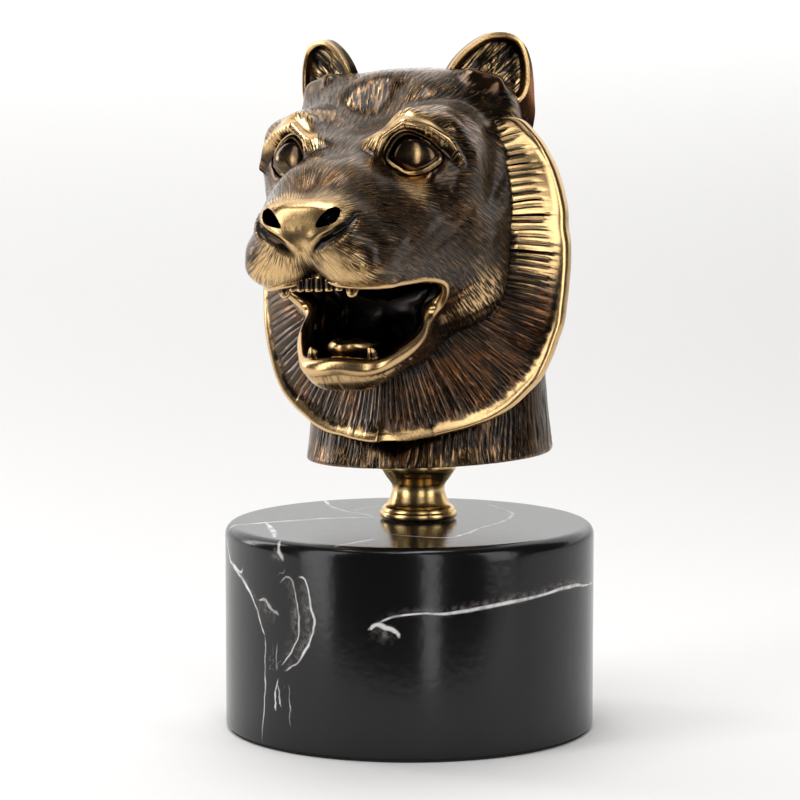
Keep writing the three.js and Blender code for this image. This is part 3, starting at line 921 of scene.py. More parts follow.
@dataclass
class Ruff:
    """The collar that stands out round the face from ear to ear, with radial flutes and a rolled rim.

    Angles go round the collar from straight down, in degrees here and in radians in the methods.

    Args:
        centre_z: The height of its middle.
        half_width: From the middle to the rim at the sides.
        down: The same downwards.
        up: The same upwards.
        upper_squareness: How full the upper corners are. Two is an oval.
        lower_squareness: The same below.
        back_y: Where the rim lies at the sides.
        sweep: How far the rim comes forward under the chin.
        sweep_angle: How far round that sweep reaches.
        top_sweep: How far the two ends come forward.
        end_angle: Where the ends are.
        end_reach: From the middle to the rim there.
        fade_angle: Where the outline starts to run in to them.
        dish_depth: How far the root lies in front of the rim at the sides.
        bib_rise: How much more it does under the chin.
        root_radius: From the middle to the root at the sides.
        upper_root_radius: The same at the ends.
        bib_root_radius: The same under the chin.
        thickness: From front to back.
        flute_pitch: From groove to groove at the rim.
        flute_depth: The deepest groove.
        land_rub: How far the upper lands between the grooves turn gold, partly as rubbed patina and partly as
            a painted highlight.
        skew: How far an upper groove turns up inwards, in radians.
        profile: Shares of the way out and of the thickness: one in front, nothing at the back.
        offsets: Where the points across a flute lie from its middle.
        cut: How deep each of them is.
    """

    centre_z: float = 107.0
    half_width: float = 37.4
    down: float = 38.7
    up: float = 46.5
    upper_squareness: float = 2.15
    lower_squareness: float = 2.8
    back_y: float = 12.5
    sweep: float = 33.0
    sweep_angle: float = 52.7
    top_sweep: float = 13.0
    end_angle: float = 157.0
    end_reach: float = 31.0
    fade_angle: float = 137.0
    dish_depth: float = 17.0
    bib_rise: float = 10.0
    root_radius: float = 20.0
    upper_root_radius: float = 34.0
    bib_root_radius: float = 13.0
    thickness: float = 2.6
    flute_pitch: float = 1.9
    flute_depth: float = 0.75
    land_rub: float = 0.7
    skew: float = 0.18
    profile: Outline = (
        *((out, 1.0) for out in (0.0, 0.2, 0.32, 0.42, 0.5, 0.58, 0.66, 0.73, 0.79, 0.85)),
        *((0.9, 1.02), (0.935, 1.12), (0.965, 1.22), (0.988, 1.12), (1.0, 0.82), (1.0, 0.4)),
        *((0.99, 0.08), (0.96, -0.05), (0.72, -0.1), (0.1, -2.6)),
    )
    offsets: tuple[float, ...] = (-0.55, -0.24, 0.0, 0.24, 0.55, 1.1)
    cut: tuple[float, ...] = (0.0, 0.72, 1.0, 0.72, 0.0, -0.12)

    def reach(self, angle: Array) -> Array:
        """Distance from the middle out to the rim: a rounded square, run in towards the ends.

        Args:
            angle: Angles from straight down.

        Returns:
            Millimetres.
        """
        side = np.abs(np.sin(angle)) / self.half_width
        lower = np.cos(angle) > 0
        down = np.abs(np.cos(angle)) / np.where(lower, self.down, self.up)
        square = np.where(lower, self.lower_squareness, self.upper_squareness)
        reach = (side**square + down**square) ** (-1 / square)
        fade = smoothstep(np.abs(np.degrees(angle)), self.fade_angle, self.end_angle)
        return reach + (self.end_reach - reach) * fade

    def build(self) -> Skin:
        """A closed section carried round the face.

        The front dips between the head and the rim, and the rim is a raised roll. Each flute is a narrow
        groove from the crease to just short of the rim. Its depth and its two ends vary at random.

        Returns:
            The closed skin, with its marks.
        """
        rng = np.random.default_rng(11)
        end = math.radians(self.end_angle)
        fine = np.linspace(-end, end, 2000)
        rim = np.stack([self.reach(fine) * np.sin(fine), self.reach(fine) * np.cos(fine)], -1)
        length = np.concatenate([[0], np.cumsum(np.linalg.norm(np.diff(rim, axis=0), axis=1))])
        flutes = int(length[-1] / self.flute_pitch)
        points = len(self.offsets)
        middle = (np.arange(flutes) + 0.5 + rng.uniform(-0.24, 0.24, flutes)) * length[-1] / flutes
        place = (middle[:, None] + self.offsets).ravel()
        angle = np.interp(place, length, fine)
        round_ = np.abs(np.degrees(angle))
        cut = np.tile(self.cut, flutes)
        high, upper = smoothstep(round_, 50, 100), smoothstep(round_, 85, 145)
        deep = np.repeat(rng.uniform(0.45, 1.0, flutes), points) * (0.4 + 0.6 * high)
        start = np.repeat(rng.uniform(0.0, 0.12, flutes), points)
        stop = np.repeat(rng.uniform(0.2, 1.3, flutes), points) + 2.9 - high
        number = np.repeat(np.arange(flutes), points)
        forward = bell(round_, 0, self.sweep_angle, 1.3)
        rim_y = self.back_y - self.sweep * forward - self.top_sweep * smoothstep(round_, 122, 152)
        root_y = self.back_y - self.dish_depth - self.bib_rise * forward
        reach_rim = self.reach(angle) + 0.22 * smooth_noise(place / 4.3, place * 0, 9)
        root = self.root_radius + (self.bib_root_radius - self.root_radius) * forward
        root = np.minimum(root + (self.upper_root_radius - self.root_radius) * upper, reach_rim - 2)
        skew = self.skew * np.sign(angle) * high * (1 - smoothstep(round_, 128, 152))
        wide = 2.9 - 1.5 * high + 0.7 * smooth_noise(place / 1.3, place * 0, 4) * (1 - high)
        # The upper lands turn gold: partly rubbed patina, partly a painted highlight.
        upper_land_wear_and_highlight = self.land_rub * smoothstep(round_, 62, 100)
        fade = 1 - 0.85 * smoothstep(round_, 130, 146)
        rings, grooves, rubs, combs = [], [], [], []
        for out, front in self.profile:
            reach = root + (reach_rim - root) * out
            from_rim = reach_rim - reach
            on_front = front >= 1.0
            inner = smoothstep(np.full(len(angle), out), 0.0, 0.3 + start)
            mark = cut * deep * smoothstep(from_rim, stop - 0.6, stop + 1.4) * inner * on_front
            y = root_y + (rim_y - root_y) * out ** (1.5 - 0.4 * upper) + (1 - front) * self.thickness
            y = y + self.flute_depth * mark
            wander = 0.35 * smooth_noise(number * 0.71, out * 3 + number * 0.0, 6) / reach_rim
            turn = angle + wander * smoothstep(1 - out, 0, 0.3) + skew * max(1 - out, 0)
            ring = np.stack([reach * np.sin(turn), y, self.centre_z - reach * np.cos(turn)], -1)
            rings.append(ring)
            grooves.append(np.clip(mark, 0, 1))
            gold = smoothstep(wide - from_rim, -0.4, 1.6) * (0.98 if front > 0.5 else 0.1)
            rubs.append(np.maximum(gold, upper_land_wear_and_highlight * on_front) * fade * (front > -0.04))
            strength = 0.55 * smoothstep(out, 0.05, 0.2) * (1 - smoothstep(out, 0.84, 0.92))
            strength = strength * (abs(front) > 0.5) * (1 - 0.7 * high * (front > 0.5))
            along = np.linalg.norm(ring[:, [0, 2]] - [0, self.centre_z], axis=1)
            combs.append(np.stack([along, angle * self.half_width, strength], -1))
        return skin_of(rings, wrap=True, groove=grooves, rub=rubs, comb=combs, polish=0.7)


@dataclass
class Ear:
    """An ear: a hatched dish under a rolled rim, slanting on the inner side, with a bulging dark back.

    Args:
        centre: The middle of the ear.
        tip: How far it tips forward, in degrees.
        turn: How far it turns outwards, in degrees.
        rim: The outline of the rim: places across and up from the centre.
        back: The outline of the back, which goes further out and down.
        profile: The section: the share of the way out and the place ahead, from the middle of the dish
            over the rim to the middle of the back.
        turn_over: Which row of the section is the first behind the rim.
        columns: How many points go round.
        hatch: The direction of the ribs across the dish: across and up.
        rib_gap: The gap between ribs.
    """

    centre: Place = (21, 10.6, 149)
    tip: float = -4.0
    turn: float = 33.0
    rim: Outline = (
        *((1.0, 10.0), (3.5, 9.7), (5.9, 8.4), (7.2, 6.1), (7.9, 3.0), (7.9, 0.0), (7.6, -2.6), (6.6, -4.9)),
        *((4.6, -6.8), (0.0, -9.0), (-7.5, -10.5), (-11.2, -6.0), (-12.0, 0.0), (-10.4, 3.1), (-7.8, 5.9)),
        *((-4.6, 8.2), (-1.6, 9.6)),
    )
    back: Outline = (
        *((1.0, 10.0), (3.5, 9.7), (5.9, 8.4), (7.6, 6.1), (8.5, 3.0), (8.8, -0.4), (8.8, -5.0), (8.6, -9.5)),
        *((6.8, -14.0), (0.0, -16.0), (-7.5, -14.0), (-11.2, -7.0), (-12.0, 0.0), (-10.4, 3.1), (-7.8, 5.9)),
        *((-4.6, 8.2), (-1.6, 9.6)),
    )
    profile: Outline = (
        *((0, -3.4), (0.3, -3.3), (0.55, -2.9), (0.72, -2.2), (0.81, -1.3), (0.85, -0.3), (0.885, 0.25)),
        *((0.93, 0.42), (0.975, 0.25), (1, -0.4), (1.0, -1.3), (1.02, -2.4), (0.98, -4), (0.78, -6)),
        *((0.4, -7.4), (0, -7.8)),
    )
    turn_over: int = 20
    columns: int = 120
    hatch: tuple[float, float] = (0.72, 0.69)
    rib_gap: float = 0.62

    def build(self) -> Skin:
        """A section from the dish's middle over the rim to the middle of the back, carried round the outline.

        Slanting ribs cross the dish, and the back swells out past the rim on the outer side.

        Returns:
            The closed skin, with its marks.
        """
        section = smooth_path(self.profile, 38)
        front, rear = (smooth_path(outline, self.columns, closed=True) for outline in (self.rim, self.back))
        rings, grooves, rubs, glooms, combs = [], [], [], [], []
        for row, (out, ahead) in enumerate(section):
            behind = np.clip(-ahead - 0.4, 0, 9) * (row > self.turn_over)
            line = front + (rear - front) * smoothstep(behind, 0, 1.6)
            size = np.maximum(out - 0.12 * behind * smoothstep(-line[:, 0], -1, 5), 0)
            across = line[:, 0] * size + 0.2 * min(behind, 3) * smoothstep(line[:, 0], -2, 6)
            up = line[:, 1] * size
            dish = (1 - smoothstep(np.full(self.columns, out), 0.74, 0.84)) * (row < self.turn_over)
            along_hatch = across * self.hatch[0] + up * self.hatch[1]
            over_hatch = across * self.hatch[1] - up * self.hatch[0]
            ribs = smooth_noise(over_hatch / self.rib_gap + 60, (across + up) / 5 + 30, 9) * dish
            ring = turned(np.stack([across, 0.22 * ribs - ahead, up], -1), self.tip, self.turn) + self.centre
            keep = slice(0, 1) if row in (0, len(section) - 1) else slice(None)
            rings.append(ring[keep])
            grooves.append(np.clip(ribs, 0, 1)[keep])
            rubs.append((bell(out, 0.935, 0.07, 4) * (ahead > -0.6) + 0.5 * dish)[keep])
            # In the dish the painted shade is below nought, which lightens it.
            glooms.append((dish * -0.3)[keep])
            combs.append(np.stack([along_hatch, over_hatch, 0.5 * dish], -1)[keep])
        return skin_of(rings, groove=grooves, rub=rubs, gloom=glooms, comb=combs)


@dataclass
class Eye:
    """An eye: a polished ball in a pointed opening, rolled lids, and a cut fold between lid and brow.

    Args:
        centre: The middle of the opening.
        up: How far the eye looks up, in degrees.
        outward: How far it looks outwards, in degrees.
        lid: The opening's outline: places across and up from the centre.
        profile: The section: the share of the way out to the outline, and the height over the ball's
            dome inside it and over the level of the face outside it, down to a point behind.
        half_across: Half the width of the egg that the dome is a part of.
        half_rise: Half its height.
        bulge: Half its depth.
        flat: How much of that depth is cut off.
        columns: How many points go round.
    """

    centre: Place = (14.4, -28.2, 132.8)
    up: float = 8.0
    outward: float = 24.0
    lid: Outline = (
        *((-1.9, 4.6), (1.0, 3.9), (3.6, 2.3), (6.5, -1.2), (5.3, -2.9), (3.6, -4.1), (1.2, -4.9)),
        *((-1.4, -4.9), (-4.2, -3.7), (-6.7, -1.1), (-5.7, 1.5), (-4.1, 3.6)),
    )
    profile: Outline = (
        *((0, 0), (0.3, 0), (0.5, 0), (0.65, 0), (0.76, -0.1), (0.81, -0.35), (0.83, -0.5), (0.845, -0.25)),
        *((0.865, 0.05), (0.9, 0.16), (0.94, 0.1), (0.975, -0.15), (1.0, -0.6), (1.02, -0.7), (1.045, -0.45)),
        *((1.075, -0.12), (1.11, -0.15), (1.15, -0.6), (1.2, -1.4), (1.32, -2.6), (1.5, -4.5), (1.2, -7)),
        (0, -9),
    )
    half_across: float = 8.0
    half_rise: float = 6.8
    bulge: float = 5.6
    flat: float = 3.1
    columns: int = 96

    def placed(self, across: Array, out: Array, rise: Array) -> Array:
        """Points of the eye's own frame in the head's frame."""
        return turned(np.stack([across, -out, rise], -1), -self.up, self.outward) + self.centre

    def dome(self, across: Array, rise: Array) -> Array:
        """How far the ball stands out: the height of an egg less a flat part."""
        part = 1 - (across / self.half_across) ** 2 - (rise / self.half_rise) ** 2
        return self.bulge * np.sqrt(np.maximum(part, 0.05)) - self.flat

    def brow_level(self, across: Array, rise: Array) -> Array:
        """How far the face round the eye stands out: a plane that leans out at the brow and the nose."""
        return 1.05 - 0.15 * across + 0.2 * np.maximum(rise, 0) + 0.03 * np.minimum(rise, 0)

    def build(self) -> Skin:
        """A section from the middle of the ball over the lid and out below the brow, carried round the lid.

        Returns:
            The closed skin, with its marks.
        """
        section = smooth_path(self.profile, 64)
        line = smooth_path(self.lid, self.columns, closed=True)
        below = smoothstep(-line[:, 1], 0.5, 3.5) * (0.6 + 0.4 * smoothstep(line[:, 0], -4, 4))
        right = smoothstep(line[:, 0], -6, 2)
        rings, rubs, glooms, polishes = [], [], [], []
        for row, (out, rise) in enumerate(section):
            inner = out - 0.1 * below * bell(out, 0.85, 0.1)
            across, up = line[:, 0] * inner, line[:, 1] * inner
            dome, level = self.dome(across, up), self.brow_level(across, up)
            ring = self.placed(across, dome + (level - dome) * smoothstep(out, 0.82, 0.88) + rise, up)
            count = 1 if row in (0, len(section) - 1) else self.columns
            rings.append(ring[:count])
            lid = bell(out, 0.91, 0.03 + 0.035 * below, 4) * (rise > -0.4) * (1 - 0.7 * below * (1 - right))
            # The ball's middle turns gold: partly rubbed, partly a painted reflection.
            ball = 0.25 * bell(out, 0, 0.5, 6) * (rise > -0.3)
            ridge = 0.8 * bell(out, 1.09, 0.04, 4) * (rise > -0.7)
            rubs.append((lid + ball + ridge)[:count])
            # Painted shade: a dark ring between the ball and the lid, a crease just outside the lid, and the
            # socket's wall.
            gap = bell(out, 0.83, 0.02, 4) * (rise < 0) * (out < 0.9)
            crease = 0.9 * bell(out, 1.01, 0.02, 4) * (rise < -0.3)
            wall = 0.9 * (out > 1.14)
            glooms.append(np.maximum(max(gap, wall), crease * (1 - 0.6 * below))[:count])
            polishes.append(np.full(count, 1.0 if out < 0.82 and rise > -1 else 0.4))
        return skin_of(rings, rub=rubs, gloom=glooms, polish=polishes)

    def socket(self) -> Skin:
        """The cut that frees the eye: the lid's outline, widened above for the fold, run in from the front.

        Returns:
            The closed skin of the cut.
        """
        line = smooth_path(self.lid, self.columns, closed=True)
        wide = 1.0 + 0.14 * smoothstep(line[:, 1], -1.5, 2.5) + 0.02 * smoothstep(np.abs(line[:, 0]), 3, 6)
        across, up = line[:, 0] * wide, line[:, 1] * wide
        rings = [self.placed(np.zeros(1), np.full(1, 9.0), np.zeros(1))]
        for out, size in ((7.0, 1.04), (1.0, 1.02), (0.2, 1.0), (-0.6, 0.98), (-1.8, 0.94)):
            level = self.brow_level(across, up) + out if out < 5 else np.full(self.columns, out)
            rings.append(self.placed(across * size, level, up * size))
        rings.append(self.placed(np.zeros(1), np.full(1, -3.0), np.zeros(1)))
        # The cut's skin carries a painted shade for the socket's wall.
        return skin_of(rings, gloom=0.6)


@dataclass
class Nostril:
    """A nostril: a slanting teardrop, wide on the outer side, cut into the nose."""

    centre: Place = (6.5, -60.2, 121.1)
    along: Place = (0.72, 0.42, 0.56)
    inward: Place = (-0.12, 0.93, 0.1)
    half_length: float = 2.9
    half_width: float = 1.55
    depth: float = 3.4

    def build(self) -> Skin:
        """Rings of the teardrop from in front of the nose to a rounded end inside it.

        Returns:
            The closed skin of the cut.
        """
        inward = unit(np.asarray(self.inward, float))
        along = np.asarray(self.along, float)
        along = unit(along - (along @ inward) * inward)
        across = np.cross(inward, along)
        turn = round_turns(40)
        narrow = 0.55 + 0.45 * smoothstep(np.cos(turn), -1, 0.5)
        shape = np.cos(turn)[:, None] * along * self.half_length
        shape = shape + (np.sin(turn) * narrow)[:, None] * across * self.half_width
        rings = [(self.centre - inward * 5)[None]]
        for deep, size in ((-5, 1.25), (-0.9, 1.14), (-0.2, 1.0), (0.6, 0.93), (2.0, 0.85), (3.0, 0.6)):
            rings.append(self.centre + inward * deep + shape * size)
        rings.append((self.centre + inward * self.depth)[None])
        # The cut's skin carries full painted shade for the inside of the nostril.
        return skin_of(rings, gloom=1.0)


LIP_KNOTS: Line = (
    (0, -56, 107.2),
    (4.5, -57.4, 106.2),
    (9.5, -56, 105.6),
    (13, -51, 105.3),
    (15.2, -41, 106),
    (17, -30, 106.3),
    (18, -23.5, 104.6),
    (17.5, -21.8, 99.5),
    (16.7, -23.8, 95.2),
    (15.3, -27, 91.5),
    (11.4, -33.4, 89),
    (6, -39.5, 87.9),
    (0, -42, 87.4),
)


@dataclass
class Mouth:
    """The open mouth: its hollow, the rolled lips, the tongue and the teeth.

    Args:
        form: The modelled head.
        knots: The line of the lips, on the right half.
        front: The middle of the hollow at the lips.
        back: The middle of its far end.
        stations: Shares of the way in for the three sizes below.
        widths: The hollow's size across there.
        lengths: Its size from front to back.
        heights: Its size upwards.
        above: The radius of the upper lip.
        below: The radius of the lower lip.
        tongue_middle: Where the middle of the tongue lies, along Y.
        tongue_reach: How far it reaches from there, forward and back.
        tongue_width: Half its width.
    """

    form: HeadForm
    knots: Line = LIP_KNOTS
    front: Place = (0, -37, 97.5)
    back: Place = (0, -13, 99)
    stations: tuple[float, ...] = (0, 0.18, 0.5, 0.82, 1)
    widths: tuple[float, ...] = (1, 1.02, 0.9, 0.66, 0.3)
    lengths: tuple[float, ...] = (1, 0.86, 0.45, 0.2, 0.05)
    heights: tuple[float, ...] = (1, 1.02, 0.98, 0.72, 0.3)
    above: float = 0.75
    below: float = 2.2
    tongue_middle: float = -26.5
    tongue_reach: float = 13.5
    tongue_width: float = 6.6

    def lip_line(self, count: int) -> Array:
        """The closed lip line, laid on the head's skin.

        Args:
            count: How many points it has.

        Returns:
            Evenly spaced points.
        """
        left = [(-x, y, z) for x, y, z in reversed(self.knots[1:-1])]
        line = smooth_path([*self.knots, *left], count, closed=True)
        return self.form.skin(unit(line - self.form.core))

    def hollow(self) -> Skin:
        """The hollow: outside the lips, in past them and back to a rounded wall with upright folds.

        Returns:
            The closed skin of the cut.
        """
        columns = 144
        lips, core = self.lip_line(columns), np.asarray(self.form.core)
        front, back = np.asarray(self.front), np.asarray(self.back)
        rings = [((front - core) * 1.9 + core)[None], (lips - core) * 1.35 + core, lips]
        side = np.abs(lips[:, 0]) / 16
        for deep in np.linspace(0.06, 0.93, 18):
            size = [np.interp(deep, self.stations, way) for way in (self.widths, self.lengths, self.heights)]
            fold = 0.9 * np.sin(deep * 30) * side * math.sin(math.pi * deep)
            middle = front + (back - front) * deep
            out = unit(lips - front)
            rings.append((lips - front) * size + middle + out * fold[:, None])
        rings.append(back[None])
        # The hollow's skin carries an even painted shade for the inside of the mouth.
        return skin_of(rings, gloom=0.4, polish=0.8)

    def lips(self) -> Skin:
        """A round bead along the lip line, thin above and full below.

        Returns:
            The closed skin, with its marks.
        """
        sides = 12
        smooth = self.lip_line(220)
        for _ in range(3):
            smooth = (np.roll(smooth, 1, axis=0) + 2 * smooth + np.roll(smooth, -1, axis=0)) / 4
        ahead = unit(np.roll(smooth, -1, axis=0) - np.roll(smooth, 1, axis=0))
        outward = unit(smooth - self.form.core)
        across = unit(np.cross(ahead, outward))
        low = smoothstep(-smooth[:, 2], -106, -94)
        full = self.above + (self.below - self.above) * low
        sink = 0.45 + 0.4 * low
        rings = []
        for turn in round_turns(sides):
            out = (full * (math.cos(turn) - sink))[:, None]
            rings.append(smooth + outward * out + across * (full * math.sin(turn))[:, None])
        skin = skin_of(rings, wrap=True, polish=0.4)
        lift = (skin.points[:, 2] - np.tile(smooth[:, 2], sides)) / self.below
        # The lower lip's underside stays darker: less rubbed patina, and a painted shade.
        underside_patina_and_shade = np.tile(low, sides) * (1 - smoothstep(lift, 0.0, 0.7))
        uneven = smooth_noise(skin.points[:, 0] / 5 + 20, skin.points[:, 2] / 5, 2)
        skin.rub = 0.8 - 0.22 * np.tile(low, sides) - 0.4 * underside_patina_and_shade - 0.2 * uneven
        return skin

    def tongue(self) -> Skin:
        """The tongue: a long pad with a furrow, its tip turned up, as an egg bent along its length.

        Returns:
            The closed skin, with its marks.
        """
        away = np.linspace(0, np.pi, 26)
        turn = round_turns(36)
        rings = []
        for row, a in enumerate(away):
            along = -math.cos(a)
            x = self.tongue_width * math.sin(a) * np.sin(turn)
            furrow = 1.2 * bell(x, 0, 1.5) * (np.cos(turn) > 0)
            thick = (2.9 - furrow) * math.sin(a) ** 0.7 * np.cos(turn)
            z = 90.0 + 0.5 * (along + 1) ** 2 + 0.9 * (1 - along) ** 2 * 0.5 + thick
            ring = np.stack([x, 0 * x + self.tongue_middle + self.tongue_reach * along, z], -1)
            rings.append(ring[:1] if row in (0, len(away) - 1) else ring)
        skin = skin_of(rings)
        skin.rub = 0.95 * smoothstep(-skin.points[:, 1], 33, 38)
        # Painted shade darkens the tongue towards the back of the mouth.
        skin.gloom = 1 - smoothstep(-skin.points[:, 1], 28, 36)
        return skin

    def tooth(self, root: Place, tip: Place, wide: float, thick: float, blunt: float) -> Skin:
        """A tooth: a rounded peg from its root to its tip.

        Args:
            root: The middle of its wide end.
            tip: Its other end.
            wide: Half its width.
            thick: Half its thickness.
            blunt: From nothing for a pointed tooth to one for a square one.

        Returns:
            The closed skin, with its marks.
        """
        start, end = np.asarray(root, float), np.asarray(tip, float)
        axis = unit(end - start)
        side = unit(np.cross(axis, [0, 1, 0]))
        deep = np.cross(side, axis)
        turn = round_turns(20)
        square = 0.6 + 0.4 * (1 - blunt)
        round_x = np.sign(np.cos(turn)) * np.abs(np.cos(turn)) ** square
        round_y = np.sign(np.sin(turn)) * np.abs(np.sin(turn)) ** square
        rings = [start[None]]
        for high in (0, 0.25, 0.5, 0.7, 0.84, 0.93, 0.98):
            size = (1 - high**2.2) ** (0.55 - 0.4 * blunt)
            oval = round_x[:, None] * side * wide + round_y[:, None] * deep * thick
            rings.append(start + (end - start) * high + oval * size)
        rings.append(end[None])
        skin = skin_of(rings)
        share = (skin.points - start) @ axis / np.linalg.norm(end - start)
        skin.rub = 0.9 * smoothstep(share, 0.72, 0.95)
        # Painted shade darkens each tooth towards its root.
        skin.gloom = 0.45 * (1 - smoothstep(share, 0.5, 0.9))
        return skin

    def teeth(self) -> list[Skin]:
        """A pair of canines above and below, and a row of squat front teeth above.

        Returns:
            The skins of the teeth, left and right in turn.
        """
        found = [
            self.tooth((8.2, -50.8, 109), (7.6, -52.2, 103.4), 1.75, 1.5, 0.45),
            self.tooth((7.1, -37.6, 86), (6.8, -40.2, 91.8), 1.6, 1.5, 0.2),
        ]
        for x, y in ((1.1, -54.4), (3.25, -54.0), (5.3, -53.2)):
            found.append(self.tooth((x, y + 0.5, 107.6), (x, y, 104.9), 1.0, 0.8, 1.0))
        return [side for skin in found for side in (skin, skin.mirrored())]


@dataclass
class TigerHead:
    """The whole bronze casting as one closed piece.

    Args:
        foot: The middle of the neck's underside.
        lean: How far the head leans about it, in degrees.
        lean_axis: The direction of the level axis that it leans about, in degrees.
        right_ear_out: How much further out the tiger's right ear stands.
        surroundings: Rounds of smoothing that give a point's surroundings.
        form: The modelled head.
    """

    foot: Place = (0, 13.6, 61.7)
    lean: float = 2.3
    lean_axis: float = 20.0
    right_ear_out: float = 1.0
    surroundings: int = 14
    form: HeadForm = field(default_factory=HeadForm)

    def leaned(self, points: Array) -> Array:
        """Points after the head has leaned about its foot, by the rotation formula about a level axis.

        Args:
            points: Places on the upright head.

        Returns:
            The places after it.
        """
        a, t = math.radians(self.lean_axis), math.radians(self.lean)
        axis = np.array([math.sin(a), -math.cos(a), 0])
        cross = np.array([[0, -axis[2], axis[1]], [axis[2], 0, -axis[0]], [-axis[1], axis[0], 0]])
        turn = np.eye(3) + math.sin(t) * cross + (1 - math.cos(t)) * cross @ cross
        return (points - self.foot) @ turn.T + self.foot

    def convexity(self, points: Array, triangles: Array) -> Array:
        """How far each point stands out of its surroundings.

        The surroundings are the points averaged with their neighbours a number of times, and the answer
        is the gap to them along the normal.

        Args:
            points: Places of the points.
            triangles: Point numbers, three to a facet.

        Returns:
            Millimetres, negative in a hollow.
        """
        edges = np.concatenate([triangles[:, pair] for pair in ([0, 1], [1, 2], [2, 0])])
        a, b = np.unique(np.sort(edges, axis=1), axis=0).T
        count = len(points)
        share = np.maximum(np.bincount(a, minlength=count) + np.bincount(b, minlength=count), 1)
        soft = points.copy()
        for _ in range(self.surroundings):
            total = np.stack(
                [np.bincount(a, soft[b, k], count) + np.bincount(b, soft[a, k], count) for k in range(3)], -1
            )
            soft = 0.4 * soft + 0.6 * total / share[:, None]
        normals = skin_normals(points, triangles)
        return np.sum((points - soft) * normals, axis=1)

    def build(self) -> bpy.types.Object:
        """Joins the parts of the casting, carries their marks over and leans the whole.

        Returns:
            The finished object.
        """
        mouth = Mouth(self.form)
        face = FaceAndSkull(self.form).build()
        LOG.info("face and skull: %d triangles", len(face.triangles))
        ear, eye, socket, nostril = Ear().build(), Eye().build(), Eye().socket(), Nostril().build()
        right_ear = ear.mirrored()
        right_ear.points[:, 0] -= self.right_ear_out
        added = [Neck().build(), Ruff().build(), together([ear, right_ear])]
        cuts = [mouth.hollow(), *(together([cut, cut.mirrored()]) for cut in (socket, nostril))]
        details = [together([eye, eye.mirrored()]), mouth.lips(), mouth.tongue(), *mouth.teeth()]
        body = mesh_object("tiger_head_cast", face)
        for skin in added:
            joined(body, skin, Join.ADD)
        for skin in cuts:
            joined(body, skin, Join.CUT)
        for skin in details:
            joined(body, skin, Join.ADD)
        LOG.info("joined casting: %d points", len(body.data.vertices))
        self.carry_marks(body.data, together([face, *added, *cuts, *details]))
        points = self.leaned(mesh_points(body.data))
        body.data.vertices.foreach_set("co", (points * METRES).astype(np.float32).ravel())
        body.data.update()
        smooth_shade(body.data, 50)
        LOG.info("tiger head: %d triangles", len(mesh_triangles(body.data)))
        return body

    def carry_marks(self, mesh: bpy.types.Mesh, source: Skin) -> None:
        """Gives every point of the joined mesh the marks of the nearest point that it was made from.

        Args:
            mesh: The joined mesh.
            source: All the skins that went into it.
        """
        tree = KDTree(len(source.points))
        for number, point in enumerate(source.points):
            tree.insert(point, number)
        tree.balance()
        points, triangles = mesh_points(mesh), mesh_triangles(mesh)
        nearest = np.array([tree.find(point)[1] for point in points])
        comb = source.comb[nearest]
        set_mark(mesh, "comb", comb)
        set_mark(mesh, "hair", comb[:, 2])
        set_mark(mesh, "standing", np.clip(self.convexity(points, triangles), -1, 1))
        for name in ("groove", "rub", "gloom", "polish"):
            set_mark(mesh, name, getattr(source, name)[nearest])


@dataclass
class Spool:
    """The turned brass spool: two rolls at the foot, a narrow waist and a flange that spreads on top.

    Args:
        centre_y: Where its axis stands.
        foot: The height of its underside.
        radius: The radius of the foot.
        waist: The radius of the waist.
        flange: The radius of the top.
        height: From the underside to above the neck's lowest point, before the top is planed.
        gap: What stands open between its top and the neck.
        columns: How many points go round.
    """

    centre_y: float = 6.0
    foot: float = 47.6
    radius: float = 9.0
    waist: float = 6.1
    flange: float = 9.0
    height: float = 14.9
    gap: float = 0.3
    columns: int = 96

    def build(self, head: TigerHead) -> bpy.types.Object:
        """A turned profile, its top planed to the lean of the neck.

        Args:
            head: The head that stands on it.

        Returns:
            The finished object.
        """
        r, w, f = self.radius, self.waist, self.flange
        bead = [(r - 0.7, 0), (r - 0.3, 0.12), (r - 0.08, 0.4), (r, 0.85), (r - 0.08, 1.3), (r - 0.3, 1.62)]
        roll = [(r - 0.42, 1.72), (r - 0.45, 1.8), (r - 0.5, 2.05), (r - 0.75, 2.5), (r - 1.2, 2.9)]
        roll += [(r - 1.52, 3.05)]
        waist = [(r - 1.6, 3.15), (r - 1.9, 3.6), (w + 0.45, 4.8), (w + 0.1, 5.9), (w, 6.9), (w + 0.25, 8)]
        waist += [(w + 0.8, 8.75)]
        lip = [(f - 1.62, 9.35), (f - 1.6, 9.5), (f - 1.38, 9.6), (f - 1.2, 10), (f - 0.75, 10.6)]
        lip += [(f - 0.3, 11.3), (f - 0.05, 12), (f, 12.8), (f, self.height)]
        parts = [smooth_path(bead, 14), smooth_path(roll, 14), smooth_path(waist, 30), smooth_path(lip, 22)]
        skin = turned_solid(np.concatenate(parts) + [0, self.foot], self.columns, self.centre_y)
        plane = head.leaned(np.asarray(head.foot) + [[0, 0, -self.gap], [1, 0, -self.gap], [0, 1, -self.gap]])
        normal = np.cross(plane[1] - plane[0], plane[2] - plane[0])
        x, y, z = skin.points.T
        top = plane[0, 2] - ((x - plane[0, 0]) * normal[0] + (y - plane[0, 1]) * normal[1]) / normal[2]
        skin.points[:, 2] = np.minimum(z, top)
        piece = mesh_object("spool_turned", skin)
        smooth_shade(piece.data, 40)
        return piece


@dataclass
class Vein:
    """A white vein in the stone: a line on the side, in degrees from the front and millimetres up, or on top.

    Args:
        on_top: Whether the knots are places on the top face rather than on the side.
        knots: The points that the vein goes through.
        width: Half its width at its widest.
        bright: How white it is, from 0 to 1.
        smoke: How far a soft cloud reaches on one side of it. The sign gives the side.
    """

    on_top: bool
    knots: Outline
    width: float = 0.3
    bright: float = 0.8
    smoke: float = 0.0


